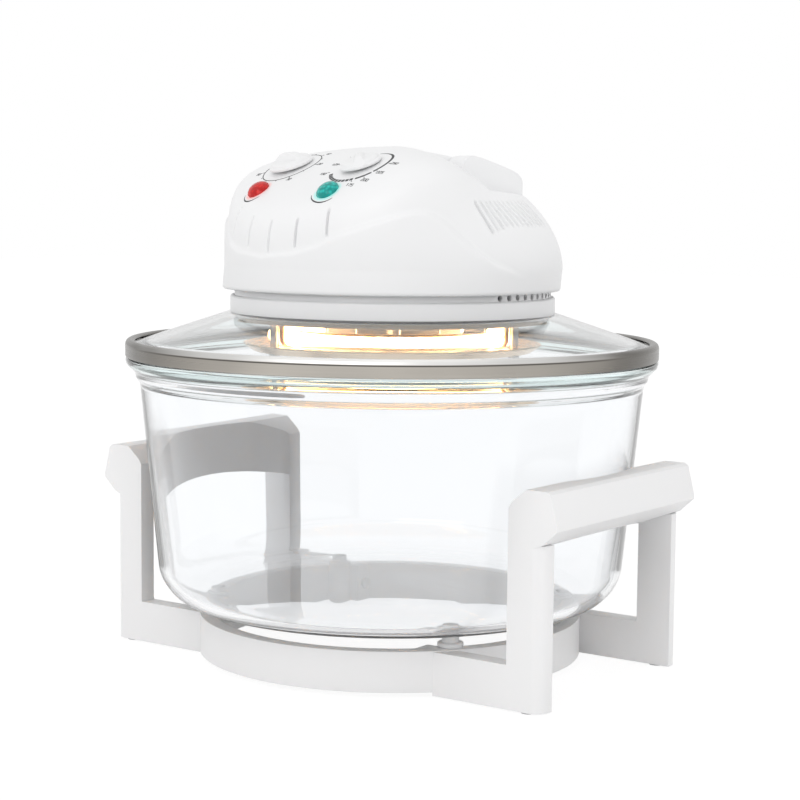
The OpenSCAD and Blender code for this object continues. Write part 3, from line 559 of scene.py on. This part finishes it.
# %% [markdown]
# The handle folds down into a pocket behind the panel, round a block called the island here. Cutting them
# with booleans would leave hard edges. Here they are planes met in the same direction, joined by a smooth
# minimum and maximum, which rounds their edges as a mould does.

# %% Pocket and island
SHELF, FALL, SHELF_Y, LEAN = 62.3, 0.065, 8.0, 12 / 28
ISLAND_HALF, ISLAND_BACK = 40.7, 44.2
ISLAND_BROW = (36.2, 71.0, 8.0, (22, 45, 68))    # centre behind and up, radius, and its facets' slopes
ISLAND_ROOF = ((0.278, 24.5, 82.5), (0.175, 24.5, 82.5), (0.117, 8.5, 85.3))    # slope, and a point on it
ROUND, POCKET_ROUND, FAR = 0.5, 0.6, 1e4


def crossing(offset, slope):
    """Where offset + slope * r turns positive, or far away if it never does."""
    return np.where(slope > 1e-6, -offset / np.maximum(slope, 1e-6), FAR)


def head_radius(az, el, inset=0.0, island=True):
    """The form, less the handle's pocket, plus the block between its arms: the least of the form and of the
    most of pocket and block."""
    dx, dy, dz = np.sin(az) * np.cos(el), -np.cos(az) * np.cos(el), np.sin(el)
    up = DOME_Z - HEAD_Z
    over_shelf = crossing(up - SHELF + inset - FALL * SHELF_Y, dz + FALL * dy)
    past_wall = crossing(-SHELF_Y + 1.1 * inset + LEAN * (up - SHELF + inset), dy + LEAN * dz)
    radius = most(over_shelf, past_wall, ROUND)
    if island:
        back, high, brow, slopes = ISLAND_BROW
        faces = [(np.abs(dx), ISLAND_HALF), (dy, ISLAND_BACK)]
        faces += [(np.cos(t) * dy + np.sin(t) * dz, np.cos(t) * back + np.sin(t) * (high - up) + brow)
                  for t in np.radians(slopes)]
        faces += [(slope * dy + dz, slope * at_y + at_z - up) for slope, at_y, at_z in ISLAND_ROOF]
        block = np.full_like(radius, FAR)
        for along, reach in faces:
            block = least(block, crossing(-reach, along), ROUND)
        radius = most(radius, block, ROUND)
    return least(form_radius(az, el, inset), radius, POCKET_ROUND)


ray = np.array(np.pi), np.radians(50)
deep = form_radius(*ray) - head_radius(*ray, island=False)
print("depth of the pocket along a ray to the back:", round(float(deep), 1), "mm")

# %% [markdown]
# The skirt is a second skin, about two millimetres proud, whose upper edge runs round the head as a wave:
# low in front under five short grooves, high at the sides, and down again towards the back. Cooling ribs
# sit behind the wave. They could be cut with boolean modifiers, which leave ragged shading, so all three
# are small steps added to the radius. WAVE pairs an azimuth with the edge's height above the head's foot,
# and GROOVES gives each groove's azimuth, top and bottom.

# %% Wave, grooves and ribs
WAVE = np.array([[0, 21.5], [3.5, 22.4], [14.7, 24.3], [23.5, 28.8], [29.7, 34.5], [41, 41.7], [51, 47],
                 [56, 48.8], [60, 47.8], [65, 43.2], [70, 35.1], [76, 25.8], [82, 19], [92, 12.5], [110, 8],
                 [180, 6]])
WAVE_STEP, WAVE_SOFT = 1.7, 2.6
GROOVES = [(-22, 51, 33.6), (-9, 45.6, 26.6), (2.5, 43.4, 23.4), (14.5, 45, 26.6), (26.3, 51, 33.6)]
GROOVE_DEEP, GROOVE_HALF = 2.3, 0.5
RIBS, RIB_FROM, RIB_PITCH, RIB_LEAN = 13, 78.8, 3.1, 5.0 / 18
RIB_TOP, RIB_FOOT, RIB_RISE, RIB_DEEP, RIB_HALF, RIB_R = 56.0, 35.6, 4.2, 2.1, 0.8, 104


def relief(az, z):
    """Millimetres added to the radius at an azimuth in radians and a height above the head's foot: an eased
    step below the wave, less a slot with eased sides and ends for each groove and rib."""
    deg = np.degrees(az)
    wave = np.interp(np.abs(deg), WAVE[:, 0], WAVE[:, 1])
    out = WAVE_STEP * ease((100 - np.abs(deg)) / 25) * ease((wave - z) / WAVE_SOFT + 0.5)
    for middle, top, low in GROOVES:
        off = np.radians(np.abs(deg - middle)) * SIDE_R
        out -= GROOVE_DEEP * ease(2.0 - off / GROOVE_HALF) * ease((top - z) / 2.5) * ease((z - low) / 2.0)
    for k in range(RIBS):
        foot = RIB_FOOT + RIB_RISE * min(1.0, k / 3.0)
        middle = RIB_FROM + RIB_PITCH * k + RIB_LEAN * (RIB_TOP - z)
        off = np.radians(np.abs(np.abs(deg) - middle)) * RIB_R
        out -= RIB_DEEP * ease(1.7 - off / RIB_HALF) * ease((RIB_TOP - z) / 2.0) * ease((z - foot) / 2.0)
    return out


print("depth of the middle groove:", round(float(-relief(np.radians(2.5), 35.0)), 2), "mm")

# %% [markdown]
# The skin is a closed shell like the real cover: an outer skin, an inner skin one wall further in, and a rim
# between them at the foot. An even grid fine enough for the grooves would have far too many faces, so the
# azimuths stand close together only where the grooves and ribs are.

# %% Head skin
FOOT_R, WALL = 106, 2.7
INSIDE, SUNK = 0.3, 0.05    # how far the skin stays within the form, level and towards the centre


def azimuths():
    """Azimuths from -180 to 180 degrees, where the running sum of 1 / step reaches each whole number. Pace
    pairs an azimuth with the step there."""
    pace = np.array([[-180, 1.5], [-124, 1.5], [-123, 0.3], [-75, 0.3], [-74, 1.4], [-24, 1.4]]
                    + [[middle + side, wide] for middle, _, _ in GROOVES
                       for side, wide in ((-1.6, 1.3), (-1.1, 0.16), (1.1, 0.16), (1.6, 1.3))]
                    + [[74, 1.4], [75, 0.3], [123, 0.3], [124, 1.5], [180, 1.5]])
    fine = np.arange(-180, 180, 0.01)
    turns = np.cumsum(0.01 / np.interp(fine, pace[:, 0], pace[:, 1]))
    return np.radians(np.interp(np.arange(0, turns[-1] - 0.5), turns, fine))


def ring_rows(az, radius, z):
    """Points (radius sin az, -radius cos az, z), for every azimuth."""
    radius, z = np.broadcast_arrays(radius, z + 0 * az)
    return np.stack([np.sin(az) * radius, -np.cos(az) * radius, z], -1)


def head_skin():
    """Rows of points: down the inner skin, round the foot, and up the outer skin to the top."""
    az, up = azimuths()[:, None], DOME_Z - HEAD_Z
    el = np.concatenate([np.arange(0, 34, 0.65), np.arange(34, 86, 1.0), [87.2, 88.5, 89.5, 90.0]])
    el = np.radians(el)[None]
    low_z = np.linspace(0.6, up, 9)[None, :-1]
    low_r = FOOT_R + (form_radius(az, 0 * az) - FOOT_R) * low_z / up + relief(az, low_z + 0 * az) - INSIDE
    radius = head_radius(az, el)
    radius = radius + (relief(az, up + radius * np.sin(el)) - INSIDE) * np.cos(el) - SUNK
    few = np.append(el[:, :-3:9], el[:, -1:], 1)[:, ::-1]
    inner = head_radius(az, few, WALL, False) - INSIDE
    points = np.concatenate([
        ring_rows(az, inner * np.cos(few), up + inner * np.sin(few)),
        ring_rows(az, inner[:, -1:], 0.4), ring_rows(az, low_r[:, :1] - 1.9, 0.0),
        ring_rows(az, low_r[:, :1] - 0.6, 0.0), ring_rows(az, low_r, low_z),
        ring_rows(az, radius * np.cos(el), up + radius * np.sin(el))], 1)
    points[..., 2] += HEAD_Z
    return closed_grid("head_skin", turned(points), wrap_v=False, smooth_angle=60.0)


head = new_object("head_skin", head_skin(), "lid", HEAD_WHITE.material, ["head_cover"])
print("head triangles:", 2 * len(head.data.polygons))

# %% [markdown]
# ## Turned shapes
# The bowl, the lid's glass and the band are round. A Screw modifier could turn an outline, but here the
# outline is made ready first: its corners are softened, because pressed glass and rolled steel have none,
# and its long sides are divided, because long thin faces shade badly. It is turned in many steps, because a
# facet that plastic hides shows at once in clear glass.

# %% Turning helpers
ROUND_STEPS = 256


def soften(outline, radius, steps=4):
    """A closed outline whose corners are parabolas, each from radius before the corner to radius after it:
    (1 - t)^2 a + 2 t (1 - t) p + t^2 b, with p the corner and a and b the parabola's ends."""
    p = np.array(outline, float)
    before, after = np.roll(p, 1, 0) - p, np.roll(p, -1, 0) - p
    la, lb = np.linalg.norm(before, axis=1), np.linalg.norm(after, axis=1)
    r = np.broadcast_to(np.asarray(radius, float), la.shape)
    a = p + before / la[:, None] * np.minimum(r, 0.45 * la)[:, None]
    b = p + after / lb[:, None] * np.minimum(r, 0.45 * lb)[:, None]
    t = np.linspace(0, 1, steps + 1)[None, :, None]
    curve = (1 - t) ** 2 * a[:, None] + 2 * t * (1 - t) * p[:, None] + t ** 2 * b[:, None]
    return curve.reshape(-1, p.shape[1])


def divided(outline, longest=3.0):
    """A closed outline whose sides are cut into equal pieces, none longer than longest."""
    p = np.array(outline, float)
    step = np.roll(p, -1, 0) - p
    count = np.maximum(1, np.ceil(np.linalg.norm(step, axis=1) / longest)).astype(int)
    side = np.repeat(np.arange(len(p)), count)
    place = np.arange(len(side)) - np.repeat(np.cumsum(count) - count, count)
    return p[side] + step[side] * (place / count[side])[:, None]


def lathe(name, outline, smooth_angle):
    """A closed outline (r, z) turned about Z: the points (r cos a, r sin a, z) for even angles a."""
    a = np.linspace(0, 2 * np.pi, ROUND_STEPS, endpoint=False)[:, None]
    r, z = divided(outline).T
    points = np.stack([np.cos(a) * r, np.sin(a) * r, z + 0 * a], -1)
    return closed_grid(name, points, smooth_angle=smooth_angle)


print("a softened square has", len(soften([[0, 0], [1, 0], [1, 1], [0, 1]], 0.2)), "points")

# %% [markdown]
# ## Glass bowl
# The bowl is one pressed piece: a nearly flat base, a round corner, a wall that leans out a little, and a
# thick rim that spreads to carry the lid. A Solidify modifier could thicken one skin, but would give the rim
# no shape of its own, so this outline runs up the outside and down again inside.

# %% Bowl
BOWL_Z, WALL_LEAN = 34.5, 6.67


def arc(centre, radius, start, end, count):
    """Points centre + radius (cos t, sin t) of an arc, for even t between two angles in degrees."""
    t = np.radians(np.linspace(start, end, count))
    return np.stack([centre[0] + radius * np.cos(t), centre[1] + radius * np.sin(t)], 1)


def bowl_outline(wall=5.0, corner=27.0, sweep=12.0, sweep_r=84.0, base=109.0):
    """From the middle of the base: flat, sweep, corner, leaning wall, rim, and back inside."""
    s, lean = np.radians(sweep), np.radians(WALL_LEAN)
    base_centre = (base, BOWL_Z + sweep_r)
    end = np.array([base + sweep_r * np.sin(s), BOWL_Z + sweep_r * (1 - np.cos(s))])
    centre = end + corner * np.array([-np.sin(s), np.cos(s)])
    start = centre + corner * np.array([np.cos(lean), -np.sin(lean)])
    radius = lambda z: start[0] + (z - start[1]) * np.tan(lean)
    out = np.concatenate([[[0.0, BOWL_Z]], arc(base_centre, sweep_r, -90, -90 + sweep, 8),
                          arc(centre, corner, -90 + sweep, -WALL_LEAN, 24)])
    rim = soften([[radius(177), 177], [radius(181.5), 181.5], [167.6, 186.5], [167.9, 190.9], [161.2, 190.9],
                  [160.8, 184.5], [radius(180) - wall, 179], [radius(172) - wall, 172]], 3.2, 5)
    inner = np.concatenate([arc(centre, corner - wall, -WALL_LEAN, -90 + sweep, 20),
                            arc(base_centre, sweep_r - wall, -90 + sweep, -90, 8), [[0.0, BOWL_Z + wall]]])
    return np.concatenate([out, rim, inner])


bowl_mesh = lathe("bowl_glass", bowl_outline(), 60)
bowl = new_object("bowl_glass", bowl_mesh, "bowl", BOWL_GLASS.material, ["glass_bowl"])
print("bowl triangles:", 2 * len(bowl.data.polygons))

# %% [markdown]
# ## Lid glass and band
# The lid's glass is a shallow cone with a lip that hangs into the bowl. The band is one strip of steel,
# rolled over the glass at its upper edge and turned in below it. Both are turned like the bowl, the steel
# with tighter corners than the glass.

# %% Cover and band
cover_outline = soften([[90, 215], [102.5, 215], [156, 196.9], [155.6, 187.6], [159.4, 187.6], [159.8, 192.3],
                        [166.6, 192.3], [166.6, 199.8], [160, 200], [103.5, 219], [90, 219]], 1.6, 4)
cover_mesh = lathe("cover_glass", cover_outline, 60)
cover = new_object("cover_glass", cover_mesh, "lid", COVER_GLASS.material, ["lid_glass"])
band_outline = soften([[160.8, 191.1], [167.9, 191.1], [168, 199.0], [167.3, 200.9], [165.6, 202],
                       [163.4, 201.7], [162, 200.9], [162, 200], [166.7, 200], [166.7, 192.2],
                       [160.8, 192.2]], 0.8, 3)
band_mesh = lathe("rim_band", band_outline, 50)
band = new_object("rim_band", band_mesh, "lid", BAND_STEEL.material, ["rim_band"])
print("cover and band:", len(cover.data.polygons), len(band.data.polygons))

# %% [markdown]
# ## Rounded copies of CAD solids
# The stand, the collar and the handle have the right shape in the CAD, but every moulded edge is rounded.
# Modelling them again would be double work, so a copy of the solid's mesh is merged and its flat faces
# joined, and a bevel rounds its edges. The bevel is applied, so the mesh that is kept is the one seen.

# %% Rounding helper
def rounded(node, name, body, paint, width, segments=3, angle=30.0):
    """A copy of a CAD node in white plastic, with its edges over angle degrees rounded by width mm."""
    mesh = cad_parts[node].data.copy()
    mesh.name = name
    bm = bmesh.new()
    bm.from_mesh(mesh)
    bmesh.ops.remove_doubles(bm, verts=bm.verts, dist=MERGE)
    bmesh.ops.dissolve_limit(bm, angle_limit=np.radians(0.6), verts=bm.verts, edges=bm.edges)
    bm.to_mesh(mesh)
    bm.free()
    if "custom_normal" in mesh.attributes:
        mesh.attributes.remove(mesh.attributes["custom_normal"])
    obj = new_object(name, mesh, body, paint.material, [node])
    bevel = obj.modifiers.new("edges", "BEVEL")
    bevel.width, bevel.segments, bevel.limit_method = width * MM, segments, "ANGLE"
    bevel.angle_limit = np.radians(angle)
    made = bpy.data.meshes.new_from_object(obj.evaluated_get(bpy.context.evaluated_depsgraph_get()))
    obj.modifiers.clear()
    obj.data = made
    made.name = name
    made.shade_smooth()
    made.set_sharp_from_angle(angle=np.radians(40))
    print(name, "rounded by", width, "mm:", len(made.polygons), "faces")


rounded("stand_ring", "stand_ring", "stand", STAND_WHITE, 1.6)
rounded("bracket_left", "bracket_left", "stand", STAND_WHITE, 2.2, 4)
rounded("bracket_right", "bracket_right", "stand", STAND_WHITE, 2.2, 4)
rounded("bowl_studs", "bowl_studs", "stand", STAND_WHITE, 0.8)
rounded("base_housing", "collar", "lid", WHITE, 0.5, 2)
rounded("carry_handle", "carry_handle", "handle", WHITE, 2.4, 4, 25)

# %% [markdown]
# ## Places on the skin
# The knobs, lamps and printing all stand on the head's skin. A place is found by sliding a point along a
# direction until it meets the skin: the gap to the skin is positive outside, and halving finds its zero.
# A plane at that place then has an axis across the lid, one up the panel and one outwards.

# %% Planes on the head
PANEL_X, REACH, HALVINGS = 33.0, 30.0, 30


def skin_gap(p):
    """How far points in the lid's own axes stand outside the printed skin."""
    d = p - np.array([0, 0, DOME_Z])
    far = np.linalg.norm(d, axis=-1)
    az, el = np.arctan2(d[..., 0], -d[..., 1]), np.arcsin(np.clip(d[..., 2] / far, -1, 1))
    return far - head_radius(az, el) - (relief(az, p[..., 2] - HEAD_Z) - INSIDE) * np.cos(el) + SUNK


def onto_skin(p, way):
    """Points moved along a direction on to the skin, by halving between REACH inside and REACH outside."""
    low, high = np.full(p.shape[:-1], -REACH), np.full(p.shape[:-1], REACH)
    for _ in range(HALVINGS):
        middle = (low + high) / 2
        outside = skin_gap(p + middle[..., None] * way) > 0
        low, high = np.where(outside, low, middle), np.where(outside, middle, high)
    return p + low[..., None] * way


def skin_plane(x, y, lean):
    """Origin on the skin, x across and y in front, and the axes across, up the panel and outwards."""
    t = np.radians(lean)
    axes = np.array([[1, 0, 0], [0, np.cos(t), np.sin(t)], [0, -np.sin(t), np.cos(t)]])
    return onto_skin(np.array([x, -y, DOME_Z + 60.0]), np.array([0, 0, 1.0])), axes


KNOB_PLANES = {side: skin_plane(side * PANEL_X, 55.5, 22) for side in (-1, 1)}
LAMP_PLANES = {side: skin_plane(side * PANEL_X, 82.0, 39) for side in (-1, 1)}
print("thermostat stands at", np.round(turned(KNOB_PLANES[1][0]), 2))

# %% [markdown]
# ## Knobs
# The knobs are small mouldings that two fingers turn by a ridge. Boxes and cylinders could be joined, but
# the joints need roundings. So each knob is a height over a disc, h(x, y): a skirt with a rounded brow, and
# over it a ridge whose flanks slope. The ridge is the lowest of its roof, its flanks and its ends, and the
# knob is the higher of skirt and ridge. Smooth minima and maxima leave the moulded roundings. Underneath is
# the spindle's bore.

# %% Knobs
BORE_R, BORE_DEEP, KNOB_GAP = 3, 4.2, 1.0
BROW = np.array([[-4, 3.95], [-3, 3.8], [-1.9, 3.1], [-1.3, 2.05], [-0.7, 1.9], [-0.2, 1.6], [0, 1.2]])


def knob_mesh(name, side, radius, height, turn, ridge=5.5):
    """A knob on the panel's side. BROW pairs a distance from the knob's edge with the skirt's height, ridge
    is half the ridge's width at its foot, and turn is the ridge's direction."""
    a = np.linspace(0, 2 * np.pi, 144, endpoint=False)[:, None]
    rho = np.concatenate([radius - np.array([0.02, 0.12, 0.35, 0.7]), np.linspace(radius - 1.1, 0, 44)])[None]
    x, y = rho * np.cos(a), rho * np.sin(a)
    brow = np.interp(rho[0], np.append(0, radius + BROW[:, 0]), np.append(4, BROW[:, 1])) + 0 * a
    roof = least(height - 0.12 - 0 * x, height * (ridge - np.abs(x)) / (ridge - 1.7), 0.3)
    ends = 3 + (height - 3) * (radius - 2.2 - np.abs(y)) / (0.6 * radius - 2.2)
    top = most(brow, least(roof, ends, 0.4), 0.22)
    under_r = np.array([0, BORE_R, BORE_R, radius - 0.4, radius, radius])
    under_z = np.array([height - BORE_DEEP, height - BORE_DEEP, 0.02, 0.02, 0.4, 1.1])
    under = np.stack([under_r * np.cos(a), under_r * np.sin(a), under_z + 0 * a], -1)
    local = np.concatenate([under, np.stack([x, y, top], -1)], 1)
    origin, axes = KNOB_PLANES[side]
    local = turned(local, turn) + np.array([0, 0, KNOB_GAP])
    return closed_grid(name, turned(origin + local @ axes), smooth_angle=50.0, wrap_v=False)


for name, side, radius, height, turn, body in (("thermostat_knob", 1, 13.0, 6.5, 45, "thermostat_dial"),
                                               ("timer_knob", -1, 14.0, 8.0, -80, "timer_dial")):
    knob = new_object(name, knob_mesh(name, side, radius, height, turn), body, KNOB_WHITE.material,
                      [name])
    print(name, "triangles:", 2 * len(knob.data.polygons))

# %% [markdown]
# ## Ink on a curved skin
# The scales are printed on the head. A texture would have to be unwrapped and blurs close up, so the ink is
# thin geometry. Every mark is a line in a plane, held as complex numbers, and is widened into a ribbon,
# dropped on to the skin and raised by a tenth of a millimetre. The digits in use are plain strokes.

# %% Ribbons
STROKES = {"0": [[0, .6, .6 + 1j, 1j, 0]], "1": [[.1 + .8j, .35 + 1j, .35]],
           "2": [[1j, .6 + 1j, .6 + .5j, .5j, 0, .6]], "3": [[1j, .6 + 1j, .6, 0], [.2 + .5j, .6 + .5j]],
           "5": [[.6 + 1j, 1j, .55j, .6 + .55j, .6, 0]], "6": [[.6 + 1j, 1j, 0, .6, .6 + .5j, .5j]],
           "7": [[1j, .6 + 1j, .25]]}
RAISED, BURIED = 0.1, 0.25


def ring_line(radius, start, end):
    """An arc of a circle, radius exp(i t), as complex numbers for even t between two angles in degrees."""
    return radius * np.exp(1j * np.radians(np.linspace(start, end, max(3, int(abs(end - start) / 3) + 2))))


def bearing(degrees):
    """The complex number of length one in a direction."""
    return np.exp(1j * np.radians(degrees))


def number(text, place, height=2.3, pace=0.85):
    """The strokes of a number, centred on a place."""
    shift = (pace * len(text) - 0.25) / 2 + 0.5j
    return [place + height * (np.array(line) + pace * k - shift)
            for k, digit in enumerate(text) for line in STROKES[digit]]


def capped(points):
    """A grid whose first and last rows are closed by a row at their middle."""
    cap = lambda k: np.broadcast_to(points[k].mean(0), points[k].shape)[None]
    return np.concatenate([cap(0), points, cap(-1)])


def ribbon(line, width, plane):
    """A thin closed strip, line + width / 2 and line - width / 2 across, in a plane and laid on the skin."""
    line = np.asarray(line, complex)
    along = np.gradient(line)
    across = 1j * along / np.abs(along) * np.asarray(width) / 2
    origin, axes = plane
    rows = np.stack([line + across, line - across], 1)
    low = onto_skin(origin + rows.real[..., None] * axes[0] + rows.imag[..., None] * axes[1], axes[2])
    points = np.concatenate([low + RAISED * axes[2], low[:, ::-1] - BURIED * axes[2]], 1)
    return closed_arrays(capped(points), wrap_u=False)


print("strokes in the number 250:", len(number("250", 0)))

# %% [markdown]
# ## The scales
# The bold ring round the thermostat is striped at its cold end and thins out past its hot end, with plain
# numbers round it. The timer has a thin ring with a tick for every five minutes, and a number at each second
# tick where the lamp leaves room. A short smile is printed under each lamp. HEAT_MARKS gives the angle of
# each number. All marks go into one mesh, as one ink.

# %% Printing
HEAT_MARKS = {126: "65", 150: "100", 176: "125", 205: "150", 299: "175", 320: "200", 342: "225", 8: "250"}
TICK, STROKE = 0.5, 0.38    # widths of a tick and of a digit's strokes
STRIPES, STRIPE_R, RING_R, TIMER_R, SMILE_R = 10, 19.5, 19.8, 19.4, 10.4
HEAT_NUMBER_R, TIMER_NUMBER_R = 26.2, 24.2


def tapered(line, places, widths):
    """A width for every point of a line, from widths at some shares of its length."""
    return np.interp(np.linspace(0, 1, len(line)), places, widths)


def printing():
    """All the marks, as one mesh."""
    dial, timer = KNOB_PLANES[1], KNOB_PLANES[-1]
    strips = [ribbon(ring_line(STRIPE_R, 216 + 8.6 * k, 222.2 + 8.6 * k), 2.4, dial) for k in range(STRIPES)]
    strips.append(ribbon(ring_line(RING_R, 304, 334), 1.7, dial))
    tail = ring_line(RING_R, 338, 460)
    strips.append(ribbon(tail, tapered(tail, [0, 77 / 122, 1], [1.7, 1.5, 0.25]), dial))
    for angle, text in HEAT_MARKS.items():
        strips.append(ribbon(bearing(angle) * np.array([21.6, 22.9]), TICK, dial))
        strips += [ribbon(line, STROKE, dial) for line in number(text, HEAT_NUMBER_R * bearing(angle))]
    strips.append(ribbon(ring_line(TIMER_R, 150, 475), 0.55, timer))
    for k in range(13):
        turn = bearing(115 - 27 * k)
        strips.append(ribbon(turn * np.array([19.6, 21.6 if k % 2 == 0 else 20.7]), TICK, timer))
        if k in (2, 4, 6, 10):
            strips += [ribbon(line, STROKE, timer) for line in number(str(5 * k), TIMER_NUMBER_R * turn)]
    for side in (-1, 1):
        smile = ring_line(SMILE_R, 207 + 4 * side, 325 + 4 * side)
        width = tapered(smile, [0, 0.35, 0.65, 1], [0.2, 0.9, 0.9, 0.2])
        strips.append(ribbon(smile, width, LAMP_PLANES[side]))
    counts = np.cumsum([0] + [len(points) for points, _ in strips])
    return finish_mesh("printing", turned(np.concatenate([points for points, _ in strips])),
                       np.concatenate([faces + n for (_, faces), n in zip(strips, counts)]))


ink = new_object("printing", printing(), "lid", INK.material)
print("printing faces:", len(ink.data.polygons))

# %% [markdown]
# ## The lit tube
# The halogen tube is a clear quartz ring with a hot filament coil inside. The eye sees the coil as one
# white-hot line, so a thin ring glows and the quartz stays clear. The glow is strong enough to warm the
# reflector above it, and no stronger.

# %% Filament
TUBE_Z, TUBE_RING, COIL_R = 201.7, 74.0, 2.2
COIL_FROM, COIL_TO = 103, 437


def bent_bar(name, ring, radius, z, start, end, steps=160, around=16):
    """A round bar bent into part of a ring: (r cos a, r sin a, z + radius sin t), r = ring + radius cos t.
    The angle a goes from start to end in degrees, and t goes round the bar. Its ends are flat."""
    a = np.radians(np.linspace(start, end, steps))[:, None]
    t = np.linspace(0, 2 * np.pi, around, endpoint=False)[None, :]
    r = ring + radius * np.cos(t)
    points = np.stack([np.cos(a) * r, np.sin(a) * r, z + radius * np.sin(t) + a * 0], -1)
    return closed_grid(name, turned(capped(points)), wrap_u=False)


glow = Paint("filament_glow", Base_Color=(0.9, 0.6, 0.3), Roughness=0.6)
flicker = glow.noise(180.0, 2.0)
glow.set(Emission_Color=glow.mix(flicker, (1.0, 0.58, 0.24), (1.0, 0.70, 0.36)), Emission_Strength=14.0)
filament = bent_bar("filament", TUBE_RING, COIL_R, TUBE_Z, COIL_FROM, COIL_TO)
new_object("filament", filament, "lid", glow.material)
print("filament length in mm:", round(TUBE_RING * np.radians(COIL_TO - COIL_FROM)))

# %% [markdown]
# ## Pilot lamps
# Each lens is tinted plastic with a pattern of small facets inside, so it looks brighter in patches. The
# neon bulb behind it is faint, and the lens gives back a little of its own light. Round each lens the head's
# white moulding has a painted glow: the lamp's tint painted into its colour.

# %% Lenses
def lens_paint(name, deep, bright, glow_colour, strength):
    """Tinted plastic, bright in the middle of each small cell and deep at its edge."""
    paint = Paint(name, Roughness=0.12, IOR=1.49, Specular_IOR_Level=0.3)
    cells = paint.node("ShaderNodeTexVoronoi", Vector=paint.where, Scale=420.0)
    paint.set(Base_Color=paint.mix((cells * 1.6).clip(), bright, deep), Normal=paint.bump(cells, 0.2, 0.0006),
              Coat_Weight=0.2, Coat_Roughness=0.05, Emission_Color=glow_colour, Emission_Strength=strength)
    return paint


def painted_lamp_glow(paint, reach=8.9, soft=0.7):
    """Paints a glow of both lamps into a moulding's colour, as far as reach mm from the middle of each lens.
    """
    x, y, z = paint.xyz()
    colour = paint.bsdf.inputs["Base Color"]
    # painted glow: pink round the red lamp, cyan round the green one
    for side, tint in ((-1, (1.0, 0.66, 0.64)), (1, (0.55, 0.93, 0.90))):
        px, py, pz = (turned(LAMP_PLANES[side][0]) * MM).tolist()
        far = ((x - px) * (x - px) + (y - py) * (y - py) + (z - pz) * (z - pz)).math("SQRT")
        plain = Sock(paint.tree, colour.links[0].from_socket)
        paint.set(Base_Color=paint.mix(far.below(reach * MM, soft * MM), plain, tint))


# the head's colour gets the painted glow of both lamps
painted_lamp_glow(HEAD_WHITE)
RED_LENS = lens_paint("red_lens", (0.42, 0.004, 0.004), (0.74, 0.02, 0.015), (0.9, 0.02, 0.01), 0.06)
GREEN_LENS = lens_paint("green_lens", (0.0, 0.22, 0.20), (0.02, 0.56, 0.50), (0.0, 0.6, 0.5), 0.08)
print("lenses:", RED_LENS.material.name, GREEN_LENS.material.name)

# %% [markdown]
# ## Everything else
# Tube, reflector, guard, fans, motor, timer and fasteners only show in glimpses through the glass, or with
# the lid off. Their CAD meshes are fine enough, so each only gets the finish of its material. What isn't
# listed here is zinc plated, like the motor's bridges, the screws and the nuts.

# %% Finishes for the CAD nodes
FINISH = {
    "red_lens": RED_LENS, "green_lens": GREEN_LENS, "neon_lamps": NEON, "foot_pads": RUBBER,
    "glass_seal": SILICONE, "reflector_pan": PAN_STEEL, "guard_plate": PAN_STEEL, "halogen_tube": QUARTZ,
    "tube_end_caps": BOARD, "tube_clips": COPPER, "motor_coil": COPPER, "motor_stator": IRON,
    "rotor_core": IRON, "motor_bearings": BRONZE, "convection_fan": ALLOY, "cooling_fan": BOARD,
    "thermostat_body": BOARD, "timer_body": BOARD, "terminal_block": BOARD, "safety_switch": BLACK,
    "inlet_gland": BLACK, "switch_plunger": RED_MOULD, "lead_wires": WIRE}
for name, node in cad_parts.items():
    if not node.hide_render:
        node.data.materials.clear()
        node.data.materials.append(FINISH.get(name, ZINC).material)
print("dressed:", sum(not n.hide_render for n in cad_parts.values()), "CAD nodes")

# %% [markdown] ## Finish
